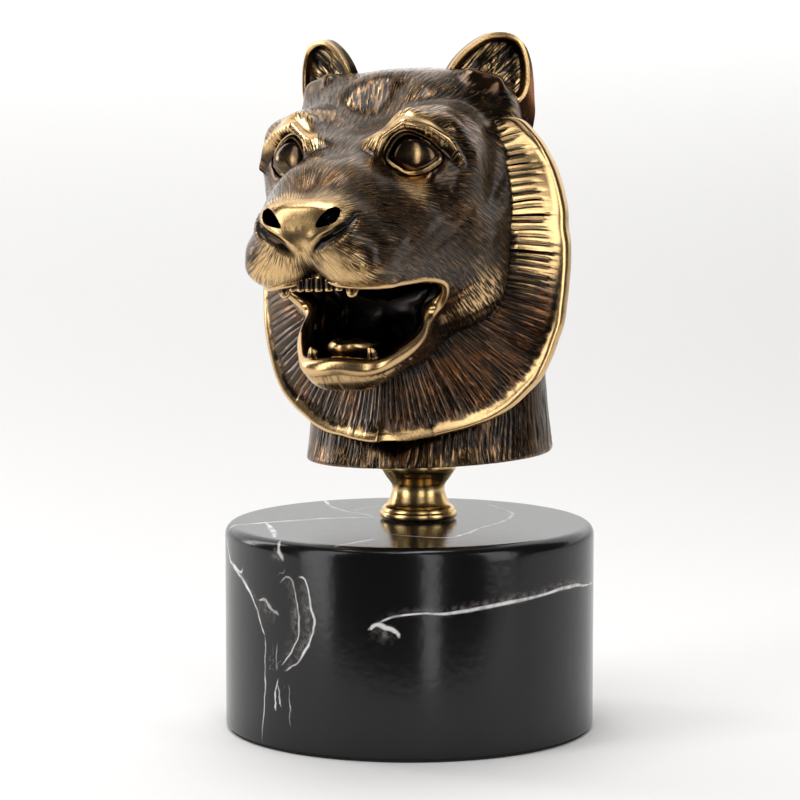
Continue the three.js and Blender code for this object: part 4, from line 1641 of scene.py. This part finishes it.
VEINS: tuple[Vein, ...] = (
    Vein(True, ((-36.5, -22), (-35.2, -18.5), (-32.8, -16.2), (-25.8, -8.2),
        (-19.3, -1.7), (-11.9, 2.7), (-9.7, 3.1)), 0.75, 0.95),
    Vein(True, ((-9.7, 3.1), (-13.8, 7.5), (-18.1, 9.4),
        (-23.6, 13.9), (-28.7, 20.9), (-31.7, 26.6)), 0.65, 0.9),
    Vein(True, ((-29.7, -13.8), (-26.2, -20.5), (-23.5, -25.6), (-19.5, -34)), 0.8, 0.95),
    Vein(True, ((-18.2, 10.2), (-17.8, 18.2), (-14.6, 22.9), (-9, 30)), 0.4, 0.5),
    Vein(True, ((2.3, -27.8), (-0.1, -34.4), (-2.7, -40.9)), 0.6, 0.9),
    Vein(True, ((2, -20.2), (8.9, -21.5), (17.1, -20.4), (18.4, -14.2),
        (18.9, -2.1), (20.1, 6.6), (18.2, 20.6), (7.3, 34.1)), 0.62, 0.9),
    Vein(False, ((7.7, 29.2), (9, 30.2), (10.6, 30.7), (14.2, 29.9), (17.2, 28.2)), 0.6, 0.9, -2.6),
    Vein(False, ((9.8, 30.5), (12.2, 31.6), (15, 32.6), (20.6, 33.2),
        (35.7, 33.3), (51.6, 34.5), (71.8, 35.8), (106.5, 34.1)), 0.42, 0.95, 1.2),
    Vein(False, ((-59, 45), (-55, 41), (-51.2, 39.4), (-45.4, 38.2),
        (-39.3, 35.8), (-34.9, 32.7), (-31.7, 29.2), (-29.3, 25.6)), 0.42, 0.85, 0.9),
    Vein(False, ((-29.3, 25.6), (-29, 22.3), (-29.4, 17.9),
        (-29.4, 12.4), (-30.1, 6.8), (-31.1, 1.2)), 0.26, 0.7),
    Vein(False, ((-51.2, 39.4), (-46, 38.9), (-42.9, 38.5), (-41.9, 39.1)), 0.5, 0.85),
    Vein(False, ((-22.3, 38), (-20.3, 39.6), (-17.7, 39.1), (-16.2, 36),
        (-15, 31.2), (-15, 26.9), (-17.4, 23.5), (-22.3, 19.7)), 0.28, 0.7, -1.9),
    Vein(False, ((-15.6, 39.7), (-13.2, 39.7), (-11.2, 36.4), (-10.1, 32.7),
        (-9.5, 30.3), (-11.1, 25.6), (-14.6, 21.5), (-20.3, 18.4)), 0.36, 0.9, -2.1),
    Vein(False, ((-32.3, 33.1), (-29.2, 33.9), (-26.2, 32.2), (-23.2, 30.7)), 0.5, 0.7, -2.2),
    Vein(False, ((-24.2, 46.8), (-23.1, 45.5), (-20.9, 43.1)), 0.62, 0.95, -2.2),
    Vein(False, ((-23.5, 24.5), (-23.7, 21.8), (-24, 18.5)), 0.2, 0.5),
    Vein(False, ((-23.5, 16.2), (-24.4, 13), (-24.6, 9.1)), 0.32, 0.85),
    Vein(False, ((-23.5, 15.2), (-22.7, 12.9), (-22.6, 10.4)), 0.28, 0.7),
    Vein(False, ((-18.8, 15.7), (-18.6, 10.8), (-18.4, 6.2)), 0.2, 0.45),
    Vein(False, ((150, 46.8), (152, 38), (160, 30), (163, 20), (172, 12), (176, 1)), 0.34, 0.8, 1.5),
    Vein(False, ((160, 30), (176, 33), (190, 38), (206, 40)), 0.3, 0.7, 1.0),
    Vein(False, ((238, 1), (242, 10), (252, 17), (256, 28), (266, 36), (270, 46.8)), 0.3, 0.7, 1.4),
)


@dataclass
class StoneBase:
    """The round base: a disc of black stone with a rounded upper edge and white veins.

    Args:
        radius: The radius.
        top: The height of the top face.
        foot: The height of the underside, on the pad.
        edge: The radius of the rounded upper edge.
        columns: How many points go round.
        layers: How many sheets the veins are spread over, so that neighbours don't meet in one.
        wobble: How far a vein wanders from its line.
    """

    radius: float = 42.5
    top: float = 47.3
    foot: float = 0.72
    edge: float = 2.4
    columns: int = 288
    layers: int = 3
    wobble: float = 0.28

    def build(self) -> bpy.types.Object:
        """A turned profile up the side, over the rounded edge and in over the top, a millimetre to a row.

        Returns:
            The finished object.
        """
        r, edge = self.radius, self.edge
        foot = self.foot
        profile = [(20.0, foot), (r - 0.5, foot), (r - 0.12, foot + 0.12), (r, foot + 0.5)]
        profile += [(r, z) for z in np.arange(1.9, self.top - edge, 1.0)]
        turns = np.linspace(0, np.pi / 2, 8)
        profile += [(r - edge * (1 - math.cos(t)), self.top - edge * (1 - math.sin(t))) for t in turns]
        profile += [(inner, self.top) for inner in np.arange(r - edge - 0.8, 0.5, -1.0)]
        skin = turned_solid(profile, self.columns)
        piece = mesh_object("stone_base", skin)
        for name, values in self.vein_marks(skin.points).items():
            set_mark(piece.data, name, values)
        smooth_shade(piece.data, 40)
        return piece

    def vein_marks(self, points: Array) -> dict[str, Array]:
        """The veins at the base's points.

        For every point it finds the nearest piece of a vein, and keeps the signed distance across it over
        the vein's width, how near the vein is, and a soft cloud on one side.

        Args:
            points: Places in millimetres.

        Returns:
            The values of each mark by its name.
        """
        degrees = np.degrees(np.arctan2(points[:, 0], -points[:, 1]))
        on_top = points[:, 2] > self.top - 0.01
        across, best = np.full((self.layers, len(points)), 9.0), np.full((self.layers, len(points)), 99.0)
        near, smoke = np.zeros((self.layers, len(points))), np.zeros(len(points))
        for number, vein in enumerate(VEINS):
            knots = np.asarray(vein.knots, float)
            if vein.on_top:
                out = np.linalg.norm(points[:, :2], axis=1) / self.radius
                place = points[:, :2] * np.maximum(1, out)[:, None]
                mine = on_top | (points[:, 2] > self.top - self.edge)
            else:
                middle = knots[:, 0].mean()
                shift = (degrees - middle + 180) % 360 - 180 + middle
                place = np.stack([np.radians(shift) * self.radius, points[:, 2]], -1)
                knots = np.stack([np.radians(knots[:, 0]) * self.radius, knots[:, 1]], -1)
                mine = ~on_top
            line = smooth_path(knots, 4 * len(knots))
            step = np.arange(len(line)) * 0.6
            wander = np.stack([smooth_noise(step, step * 0, number + seed) for seed in (1, 40)], -1)
            line = line + self.wobble * wander
            a, axis = line[:-1], np.diff(line, axis=0)
            gap = place[:, None] - a
            along = np.clip(np.sum(gap * axis, -1) / np.sum(axis * axis, -1), 0, 1)
            off = gap - along[..., None] * axis
            length = np.linalg.norm(off, axis=-1)
            piece = np.argmin(length, axis=1)
            row = np.arange(len(points))
            distance = length[row, piece]
            sign = np.sign(axis[piece, 0] * off[row, piece, 1] - axis[piece, 1] * off[row, piece, 0])
            share = (piece + along[row, piece]) / len(axis)
            swell = 0.45 + 0.55 * np.sin(np.pi * np.clip(share, 0.02, 0.98)) ** 0.5
            swell = swell * (1 + 0.35 * smooth_noise(share * 7 + number, share * 0, 3))
            scaled = np.where(mine, distance / (vein.width * swell), 99)
            layer = number % self.layers
            closer = scaled < best[layer]
            best[layer] = np.where(closer, scaled, best[layer])
            across[layer] = np.where(closer, np.clip(sign * scaled, -9, 9), across[layer])
            within = (1 - smoothstep(distance, 1.0, 2.0)) * smoothstep(np.minimum(share, 1 - share), 0, 0.05)
            near[layer] = np.where(closer, vein.bright * within, near[layer])
            if vein.smoke:
                aside = sign * distance * math.copysign(1, vein.smoke)
                inside = smoothstep(-distance, -abs(vein.smoke) * 1.6, 0) * mine
                inside = inside * smoothstep(aside, -0.5, 0.6)
                smoke = np.maximum(smoke, 0.8 * vein.bright * inside * np.sin(np.pi * np.clip(share, 0, 1)))
        marks = {"smoke": smoke}
        for layer in range(self.layers):
            marks[f"vein_{layer}"] = across[layer]
            marks[f"near_{layer}"] = near[layer]
        return marks


@dataclass
class FootPad:
    """The thin dark pad under the base."""

    radius: float = 41.9
    thickness: float = 0.7

    def build(self) -> bpy.types.Object:
        """A turned profile: a flat disc with a softened edge.

        Returns:
            The finished object.
        """
        r, t = self.radius, self.thickness
        lower = [(r * 0.5, 0), (r - 0.15, 0), (r - 0.04, 0.06), (r, 0.2)]
        upper = [(radius, t - z) for radius, z in reversed(lower)]
        piece = mesh_object("foam_pad_disc", turned_solid(lower + upper, 180))
        smooth_shade(piece.data, 40)
        return piece


# Finishes


Socket = bpy.types.NodeSocket
Value = Union["Number", float]


class Number:
    """A number socket that takes part in sums: each operator adds one Math node."""

    def __init__(self, paint: "Paint", socket: Socket) -> None:
        """Keeps the socket and the paint that it belongs to."""
        self.paint = paint
        self.socket = socket

    def _with(self, operation: str, *others: Value) -> "Number":
        """One Math node on this number and others.

        Args:
            operation: What the node does.
            others: The numbers after this one.

        Returns:
            Its result.
        """
        node = self.paint.node("ShaderNodeMath", {"operation": operation}, dict(enumerate([self, *others])))
        return Number(self.paint, node.outputs[0])

    def __add__(self, other: Value) -> "Number":
        """Sum."""
        return self._with("ADD", other)

    __radd__ = __add__

    def __mul__(self, other: Value) -> "Number":
        """Product."""
        return self._with("MULTIPLY", other)

    __rmul__ = __mul__

    def __sub__(self, other: Value) -> "Number":
        """Difference."""
        return self._with("SUBTRACT", other)

    def __rsub__(self, other: float) -> "Number":
        """A plain number less this one."""
        return self._with("MULTIPLY_ADD", -1.0, other)

    def __abs__(self) -> "Number":
        """Size without sign."""
        return self._with("ABSOLUTE")

    def high(self, other: Value) -> "Number":
        """The larger of two."""
        return self._with("MAXIMUM", other)

    def between(self, low: float, high: float) -> "Number":
        """Eased share of the way from low to high.

        Args:
            low: Where it is nothing.
            high: Where it is one.

        Returns:
            The share.
        """
        ends = {0: self, 1: low, 2: high, 3: 0.0, 4: 1.0}
        node = self.paint.node("ShaderNodeMapRange", {"interpolation_type": "SMOOTHSTEP"}, ends)
        return Number(self.paint, node.outputs[0])


Link = Union[Number, Socket, float, tuple, Vector]


class Paint:
    """The nodes of one material."""

    def __init__(self, name: str) -> None:
        """Makes the material with a shader and its output.

        Args:
            name: The material's name.
        """
        self.material = bpy.data.materials.new(name)
        self.material.use_nodes = True
        self.tree = self.material.node_tree
        self.tree.nodes.clear()
        self.shader = self.tree.nodes.new("ShaderNodeBsdfPrincipled")
        output = self.tree.nodes.new("ShaderNodeOutputMaterial")
        self.tree.links.new(self.shader.outputs[0], output.inputs[0])

    def node(
        self, kind: str, settings: Optional[dict] = None, inputs: Optional[dict] = None
    ) -> bpy.types.Node:
        """A new node.

        Args:
            kind: The node's type.
            settings: Its own properties, set first.
            inputs: Values or links by the name or the number of the socket.

        Returns:
            The node.
        """
        made = self.tree.nodes.new(kind)
        for key, value in (settings or {}).items():
            setattr(made, key, value)
        for key, value in (inputs or {}).items():
            self.feed(made.inputs[key], value)
        return made

    def feed(self, socket: Socket, value: Link) -> None:
        """Links or sets one socket.

        Args:
            socket: The socket.
            value: What it gets.
        """
        if isinstance(value, Number):
            value = value.socket
        if isinstance(value, Socket):
            self.tree.links.new(value, socket)
        else:
            socket.default_value = value

    def mark(self, name: str) -> Number:
        """A mark of the mesh as a number."""
        node = self.node("ShaderNodeAttribute", {"attribute_name": name})
        return Number(self, node.outputs["Fac"])

    def place(self, scale: Place = (1000, 1000, 1000)) -> Socket:
        """Object coordinates, by the scale in millimetres or stretched."""
        inputs = {"Vector": self.node("ShaderNodeTexCoord").outputs["Object"], "Scale": scale}
        return self.node("ShaderNodeMapping", {}, inputs).outputs[0]

    def way(self, name: str) -> Socket:
        """A mark of the mesh as a direction."""
        return self.node("ShaderNodeAttribute", {"attribute_name": name}).outputs["Vector"]

    def vector(self, operation: str, first: Link, second: Link = (0, 0, 0)) -> bpy.types.Node:
        """A Vector Math node."""
        return self.node("ShaderNodeVectorMath", {"operation": operation}, {0: first, 1: second})

    def strokes(self, cell: tuple[float, float], length: float, width: float) -> Number:
        """Chisel strokes along the mesh's hair, from 0 to 1.

        Each cell of a random pattern, long the way the hair runs, holds one stroke about its middle. The
        stroke's depth is one less the square of the way along it, times one less the square of the way
        across it. Its slant and strength vary from cell to cell.

        Args:
            cell: The size of a cell along and across the hair, in millimetres.
            length: Half the length of a stroke.
            width: Half the width of a stroke.

        Returns:
            The depth of the cut.
        """
        spot = self.vector("MULTIPLY", self.way("comb"), (1 / cell[0], 1 / cell[1], 0)).outputs[0]
        flat = {"voronoi_dimensions": "2D"}
        cells = self.node("ShaderNodeTexVoronoi", flat, {"Vector": spot, "Scale": 1.0})
        gap = self.vector("SUBTRACT", spot, cells.outputs["Position"]).outputs[0]
        parts = self.node("ShaderNodeSeparateXYZ", {}, {0: gap})
        chance = self.node("ShaderNodeSeparateColor", {}, {0: cells.outputs["Color"]})
        along = Number(self, parts.outputs[0]) * (cell[0] / length)
        across = Number(self, parts.outputs[1]) * (cell[1] / width)
        across = across + along * (Number(self, chance.outputs[0]) - 0.5) * 1.6
        cut = (1.0 - along * along).high(0.0) * (1.0 - across * across).high(0.0)
        return cut * (0.35 + Number(self, chance.outputs[1]) * 0.65)

    def noise(self, where: Socket, scale: float, detail: float = 3.0, rough: float = 0.55) -> Number:
        """Cloudy noise from 0 to 1 at a place."""
        inputs = {"Vector": where, "Scale": scale, "Detail": detail, "Roughness": rough}
        return Number(self, self.node("ShaderNodeTexNoise", {}, inputs).outputs["Fac"])

    def mix(self, share: Link, first: Link, second: Link) -> Socket:
        """A colour part way from one to another."""
        node = self.node("ShaderNodeMix", {"data_type": "RGBA"}, {0: share, 6: first, 7: second})
        return node.outputs[2]

    def bump(self, height: Number, depth: float) -> Socket:
        """A normal bent by a height, whose unit is depth in metres."""
        node = self.node("ShaderNodeBump", {}, {"Height": height, "Distance": depth, "Strength": 1.0})
        return node.outputs[0]

    def finish(self, **sockets: Link) -> bpy.types.Material:
        """Sets the shader's sockets.

        Args:
            sockets: Values or links by the socket's name, with underscores for spaces.

        Returns:
            The material.
        """
        for name, value in sockets.items():
            self.feed(self.shader.inputs[name.replace("_", " ")], value)
        return self.material


Colour = tuple[float, float, float, float]


@dataclass(frozen=True)
class AgedBronze:
    """Cast bronze with a dark brown patina that is rubbed to satin gold on the high parts."""

    black: Colour = (0.008, 0.0055, 0.0045, 1)
    brown: Colour = (0.052, 0.029, 0.014, 1)
    red: Colour = (0.13, 0.052, 0.016, 1)
    warm: Colour = (0.38, 0.21, 0.075, 1)
    gold: Colour = (0.68, 0.43, 0.18, 1)
    pale: Colour = (0.78, 0.57, 0.31, 1)
    edge_tint: Colour = (0.9, 0.84, 0.77, 1)
    wax: float = 0.38

    def material(self) -> bpy.types.Material:
        """Patina by the marks: strokes darken, pits, creases and the mouth take a painted shade, the hair's
        ridges warm with wear and a painted glint, and rubbed parts turn gold, some as a painted highlight.

        Returns:
            The material.
        """
        paint = Paint("aged_bronze")
        where = paint.place()
        groove, rub, gloom = paint.mark("groove"), paint.mark("rub"), paint.mark("gloom")
        standing, hair, polish = paint.mark("standing"), paint.mark("hair"), paint.mark("polish")
        stroke = paint.strokes((4.2, 0.95), 2.1, 0.17)
        stroke = stroke.high(paint.strokes((6.5, 1.35), 3.1, 0.22))
        stroke = stroke.high(paint.strokes((3.1, 0.75), 1.5, 0.13))
        stroke = stroke * (hair * 1.6).between(0.0, 1.0)
        # Lighter, warmer ridges between the strokes: partly rubbed wear, partly a painted glint.
        ridge = paint.strokes((4.8, 0.9), 2.3, 0.26) * hair * (1.0 - stroke) * (1.0 - polish)
        cloud = paint.noise(where, 0.07, 3)
        blotch = paint.noise(where, 0.25, 3)
        grain = paint.noise(where, 2.2, 3, 0.6)
        speck = paint.noise(where, 5.5, 2, 0.5)
        edge = standing.between(0.1, 0.6)
        dip = (standing * -1.0).between(0.05, 0.5)
        # The gold share follows wear and the painted highlights of the rub mark; painted shade in pits,
        # creases and the mouth holds it back and darkens the ground.
        worn = rub * 1.3 + edge * 0.3 + (blotch - 0.5) * 0.3 + (grain - 0.5) * 0.2 - groove * 0.9 - dip * 0.35
        worn = (worn - gloom * 1.2 - stroke * 1.1 + ridge * (blotch + 0.1) * 0.35).between(0.2, 0.95)
        dark = groove + dip * 0.8 + gloom * 1.1 + stroke * 1.3 + (0.5 - cloud) * 0.8 + (0.5 - blotch) * 0.3
        ground = paint.mix(cloud.between(0.5, 0.66), self.brown, self.red)
        # Warmth comes from edges, rubbed wear and painted highlights, patina blotches and the ridges' glint.
        warmth = edge * 0.3 + rub * 0.7 + (blotch - 0.48) * 0.8 + hair * 0.1 + ridge * 0.45
        ground = paint.mix(warmth.between(0.1, 1.0), ground, self.warm)
        ground = paint.mix(dark.between(0.1, 0.85), ground, self.black)
        bright = paint.mix(speck.between(0.4, 0.8), self.gold, self.pale)
        colour = paint.mix(worn, ground, bright)
        rough = 0.18 - polish * 0.04 + worn * 0.07 + (grain - 0.5) * 0.12 + gloom * 0.06 + stroke * 0.15
        height = grain * 0.3 + speck * 0.2 - groove * 0.3 - stroke * 2.2 + ridge * 0.5
        return paint.finish(
            Base_Color=colour,
            Metallic=1.0,
            Roughness=rough,
            Normal=paint.bump(height * (1.15 - polish), 0.00008),
            Specular_Tint=self.edge_tint,
            Coat_Weight=self.wax,
            Coat_Roughness=0.2,
        )


@dataclass(frozen=True)
class TurnedBrass:
    """Satin brass with fine turning lines."""

    light: Colour = (0.9, 0.64, 0.29, 1)
    deep: Colour = (0.62, 0.39, 0.14, 1)

    def material(self) -> bpy.types.Material:
        """Fine rings by noise stretched round the axis, a little darker in streaks.

        Returns:
            The material.
        """
        paint = Paint("turned_brass")
        rings = paint.noise(paint.place((10, 10, 9000)), 1.0, 2)
        cloud = paint.noise(paint.place(), 0.35, 3)
        colour = paint.mix(cloud.between(0.3, 0.75) * 0.6 + rings * 0.25, self.light, self.deep)
        return paint.finish(
            Base_Color=colour,
            Metallic=1.0,
            Roughness=0.15 + rings * 0.12,
            Normal=paint.bump(rings, 0.00003),
        )


@dataclass(frozen=True)
class VeinedStone:
    """Polished black stone with white veins."""

    black: Colour = (0.0055, 0.005, 0.0055, 1)
    vein: Colour = (0.86, 0.85, 0.84, 1)
    cloud: Colour = (0.34, 0.3, 0.28, 1)

    def material(self) -> bpy.types.Material:
        """Veins by the marks across them, with a torn cloud beside some, under a glossy skin.

        Returns:
            The material.
        """
        paint = Paint("black_marble")
        where = paint.place()
        torn = paint.noise(where, 0.7, 4, 0.65)
        thin = paint.noise(where, 0.25, 2)
        lines = []
        for layer in range(StoneBase.layers):
            across = abs(paint.mark(f"vein_{layer}"))
            lines.append((1.0 - across.between(0.35, 1.15)) * paint.mark(f"near_{layer}"))
        line = reduce(Number.high, lines) * (0.45 + thin.between(0.35, 0.6) * 0.55)
        smoke = paint.mark("smoke") * torn.between(0.36, 0.68)
        colour = paint.mix(smoke, self.black, self.cloud)
        colour = paint.mix(line, colour, self.vein)
        peel = paint.noise(where, 0.55, 2, 0.4)
        return paint.finish(
            Base_Color=colour,
            Roughness=0.15 + peel * 0.05,
            Normal=paint.bump(peel, 0.00003),
            IOR=1.42,
        )


@dataclass(frozen=True)
class DarkFoam:
    """Thin black foam with a fine open grain."""

    colour: Colour = (0.012, 0.012, 0.013, 1)
    worn: Colour = (0.05, 0.048, 0.046, 1)

    def material(self) -> bpy.types.Material:
        """Fine pores by noise.

        Returns:
            The material.
        """
        paint = Paint("foam_pad")
        pores = paint.noise(paint.place(), 3.0, 2)
        colour = paint.mix(pores.between(0.55, 0.8), self.colour, self.worn)
        return paint.finish(Base_Color=colour, Roughness=0.9, Normal=paint.bump(pores, 0.0001))


@dataclass(frozen=True)
class PalePaper:
    """The plain pale sweep that the ornament stands on."""

    colour: Colour = (0.86, 0.85, 0.84, 1)
    low_glow: Colour = (0.02, 0.02, 0.02, 1)
    high_glow: Colour = (1.1, 1.1, 1.1, 1)
    rise: float = 0.42

    def material(self) -> bpy.types.Material:
        """One even matt colour, with a painted glow that grows from almost none on the floor to white up the
        curve.

        Returns:
            The material.
        """
        paint = Paint("pale_paper")
        place = paint.node("ShaderNodeTexCoord").outputs["Object"]
        height = Number(paint, paint.node("ShaderNodeSeparateXYZ", {}, {0: place}).outputs[2])
        glow = paint.mix(height.between(0.0, self.rise), self.low_glow, self.high_glow)
        painted_glow = {"Emission_Color": glow, "Emission_Strength": 1.0}
        return paint.finish(Base_Color=self.colour, Roughness=0.75, **painted_glow)


@dataclass
class Softbox:
    """A square soft light that looks at the ornament."""

    place: Place
    size: tuple[float, float]
    watts: float

    def build(self, name: str) -> None:
        """Adds the light.

        Args:
            name: Its name.
        """
        data = bpy.data.lights.new(name, "AREA")
        data.shape = "RECTANGLE"
        data.size, data.size_y = self.size
        data.energy = self.watts
        light = in_scene(name, data)
        light.location = self.place
        aim = Vector((0, 0, 0.1)) - Vector(self.place)
        light.rotation_euler = aim.to_track_quat("-Z", "Y").to_euler()


@dataclass
class Studio:
    """The pale sweep, the soft lights and the camera at the photograph's place.

    Args:
        azimuth: How far the camera stands round to the tiger's left, in degrees.
        distance: From the axis of the base to the camera, in metres.
        eye_height: The height of the camera.
        pan: How far it looks past the axis, in degrees.
        pitch: How far it looks down, in degrees.
        lens: The focal length on a film 36 mm wide.
        flat: How far back the floor is flat, in metres.
        bend: The radius of its curve.
        half_width: Half its width.
    """

    azimuth: float = 20.0
    distance: float = 0.7
    eye_height: float = 0.1493
    pan: float = -0.18
    pitch: float = 6.02
    lens: float = 137.7
    flat: float = 0.2
    bend: float = 1.3
    half_width: float = 2.5

    def camera(self) -> None:
        """A long lens turned by the azimuth about the base, a little above the ears."""
        a, pan, pitch = (math.radians(v) for v in (self.azimuth, self.pan, self.pitch))
        right = Vector((math.cos(a), math.sin(a), 0))
        ahead = Vector((-math.sin(a), math.cos(a), 0))
        level = ahead * math.cos(pan) + right * math.sin(pan)
        look = level * math.cos(pitch) - Vector((0, 0, 1)) * math.sin(pitch)
        data = bpy.data.cameras.new("camera")
        data.lens, data.sensor_width, data.clip_start = self.lens, 36.0, 0.01
        seen = in_scene("camera", data)
        seen.location = -self.distance * ahead + Vector((0, 0, self.eye_height))
        seen.rotation_euler = look.to_track_quat("-Z", "Y").to_euler()
        bpy.context.scene.camera = seen

    def sweep(self) -> None:
        """A floor that curves up behind the ornament, seen from the camera's side."""
        profile = [(-0.13, 0.0), (0.0, 0.0), (self.flat, 0.0)]
        turns = np.linspace(0.05, math.pi / 2, 24)
        profile += [(self.flat + self.bend * math.sin(t), self.bend - self.bend * math.cos(t)) for t in turns]
        profile += [(self.flat + self.bend, self.bend + 1.1)]
        a = math.radians(self.azimuth)
        ahead, right = np.array([-math.sin(a), math.cos(a), 0]), np.array([math.cos(a), math.sin(a), 0])
        out = np.asarray(profile)
        middle = out[:, :1] * ahead + out[:, 1:] * np.array([0, 0, 1.0])
        points = np.concatenate([middle + side * right for side in (-self.half_width, self.half_width)])
        n = len(profile)
        i = np.arange(n - 1)
        quads = np.stack([i, i + n, i + n + 1, i + 1], 1)
        mesh = bpy.data.meshes.new("pale_sweep")
        mesh.from_pydata(points.tolist(), [], quads.tolist())
        mesh.shade_smooth()
        mesh.materials.append(PalePaper().material())
        floor = in_scene("pale_sweep", mesh)

    def lights(self) -> None:
        """Tall boxes at the sides, a wide one above, one for the backdrop, and a weak surround."""
        Softbox((-0.554, -0.709, 0.34), (0.34, 1.2), 4.0).build("left_front_box")
        Softbox((0.49, -0.755, 0.34), (0.16, 1.2), 1.8).build("right_front_box")
        Softbox((-0.85, 0.1, 0.44), (0.2, 0.7), 2.2).build("left_box")
        Softbox((0.85, -0.2, 0.3), (0.3, 0.8), 2.0).build("right_box")
        Softbox((-0.05, -0.12, 0.95), (0.5, 0.45), 5.0).build("top_box")
        Softbox((-0.15, 0.5, 1.3), (1.6, 0.7), 1.7).build("back_box")
        world = bpy.data.worlds.new("surround")
        world.use_nodes = True
        world.node_tree.nodes["Background"].inputs[0].default_value = (0.9, 0.92, 0.95, 1)
        world.node_tree.nodes["Background"].inputs[1].default_value = 0.06
        bpy.context.scene.world = world
        bpy.context.scene.view_settings.view_transform = "Standard"

    def build(self) -> None:
        """Everything round the ornament."""
        self.camera()
        self.sweep()
        self.lights()


def dressed(piece: bpy.types.Object, node: str, material: bpy.types.Material) -> None:
    """Gives a piece its finish and puts it in the place of a solid.

    Args:
        piece: The finished object.
        node: The solid that it replaces.
        material: The finish.
    """
    piece.data.materials.clear()
    piece.data.materials.append(material)
    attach(piece, "root")
    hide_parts(node)
    LOG.info("%s: %d triangles", piece.name, len(mesh_triangles(piece.data)))


def main() -> None:
    """Builds the ornament, its finishes and the studio."""
    logging.basicConfig(level=logging.INFO, format="%(message)s", stream=sys.stdout)
    Studio().build()
    head = TigerHead()
    dressed(head.build(), "tiger_head", AgedBronze().material())
    dressed(Spool().build(head), "spool", TurnedBrass().material())
    dressed(StoneBase().build(), "base", VeinedStone().material())
    dressed(FootPad().build(), "foot_pad", DarkFoam().material())


if __name__ == "__main__":
    main()
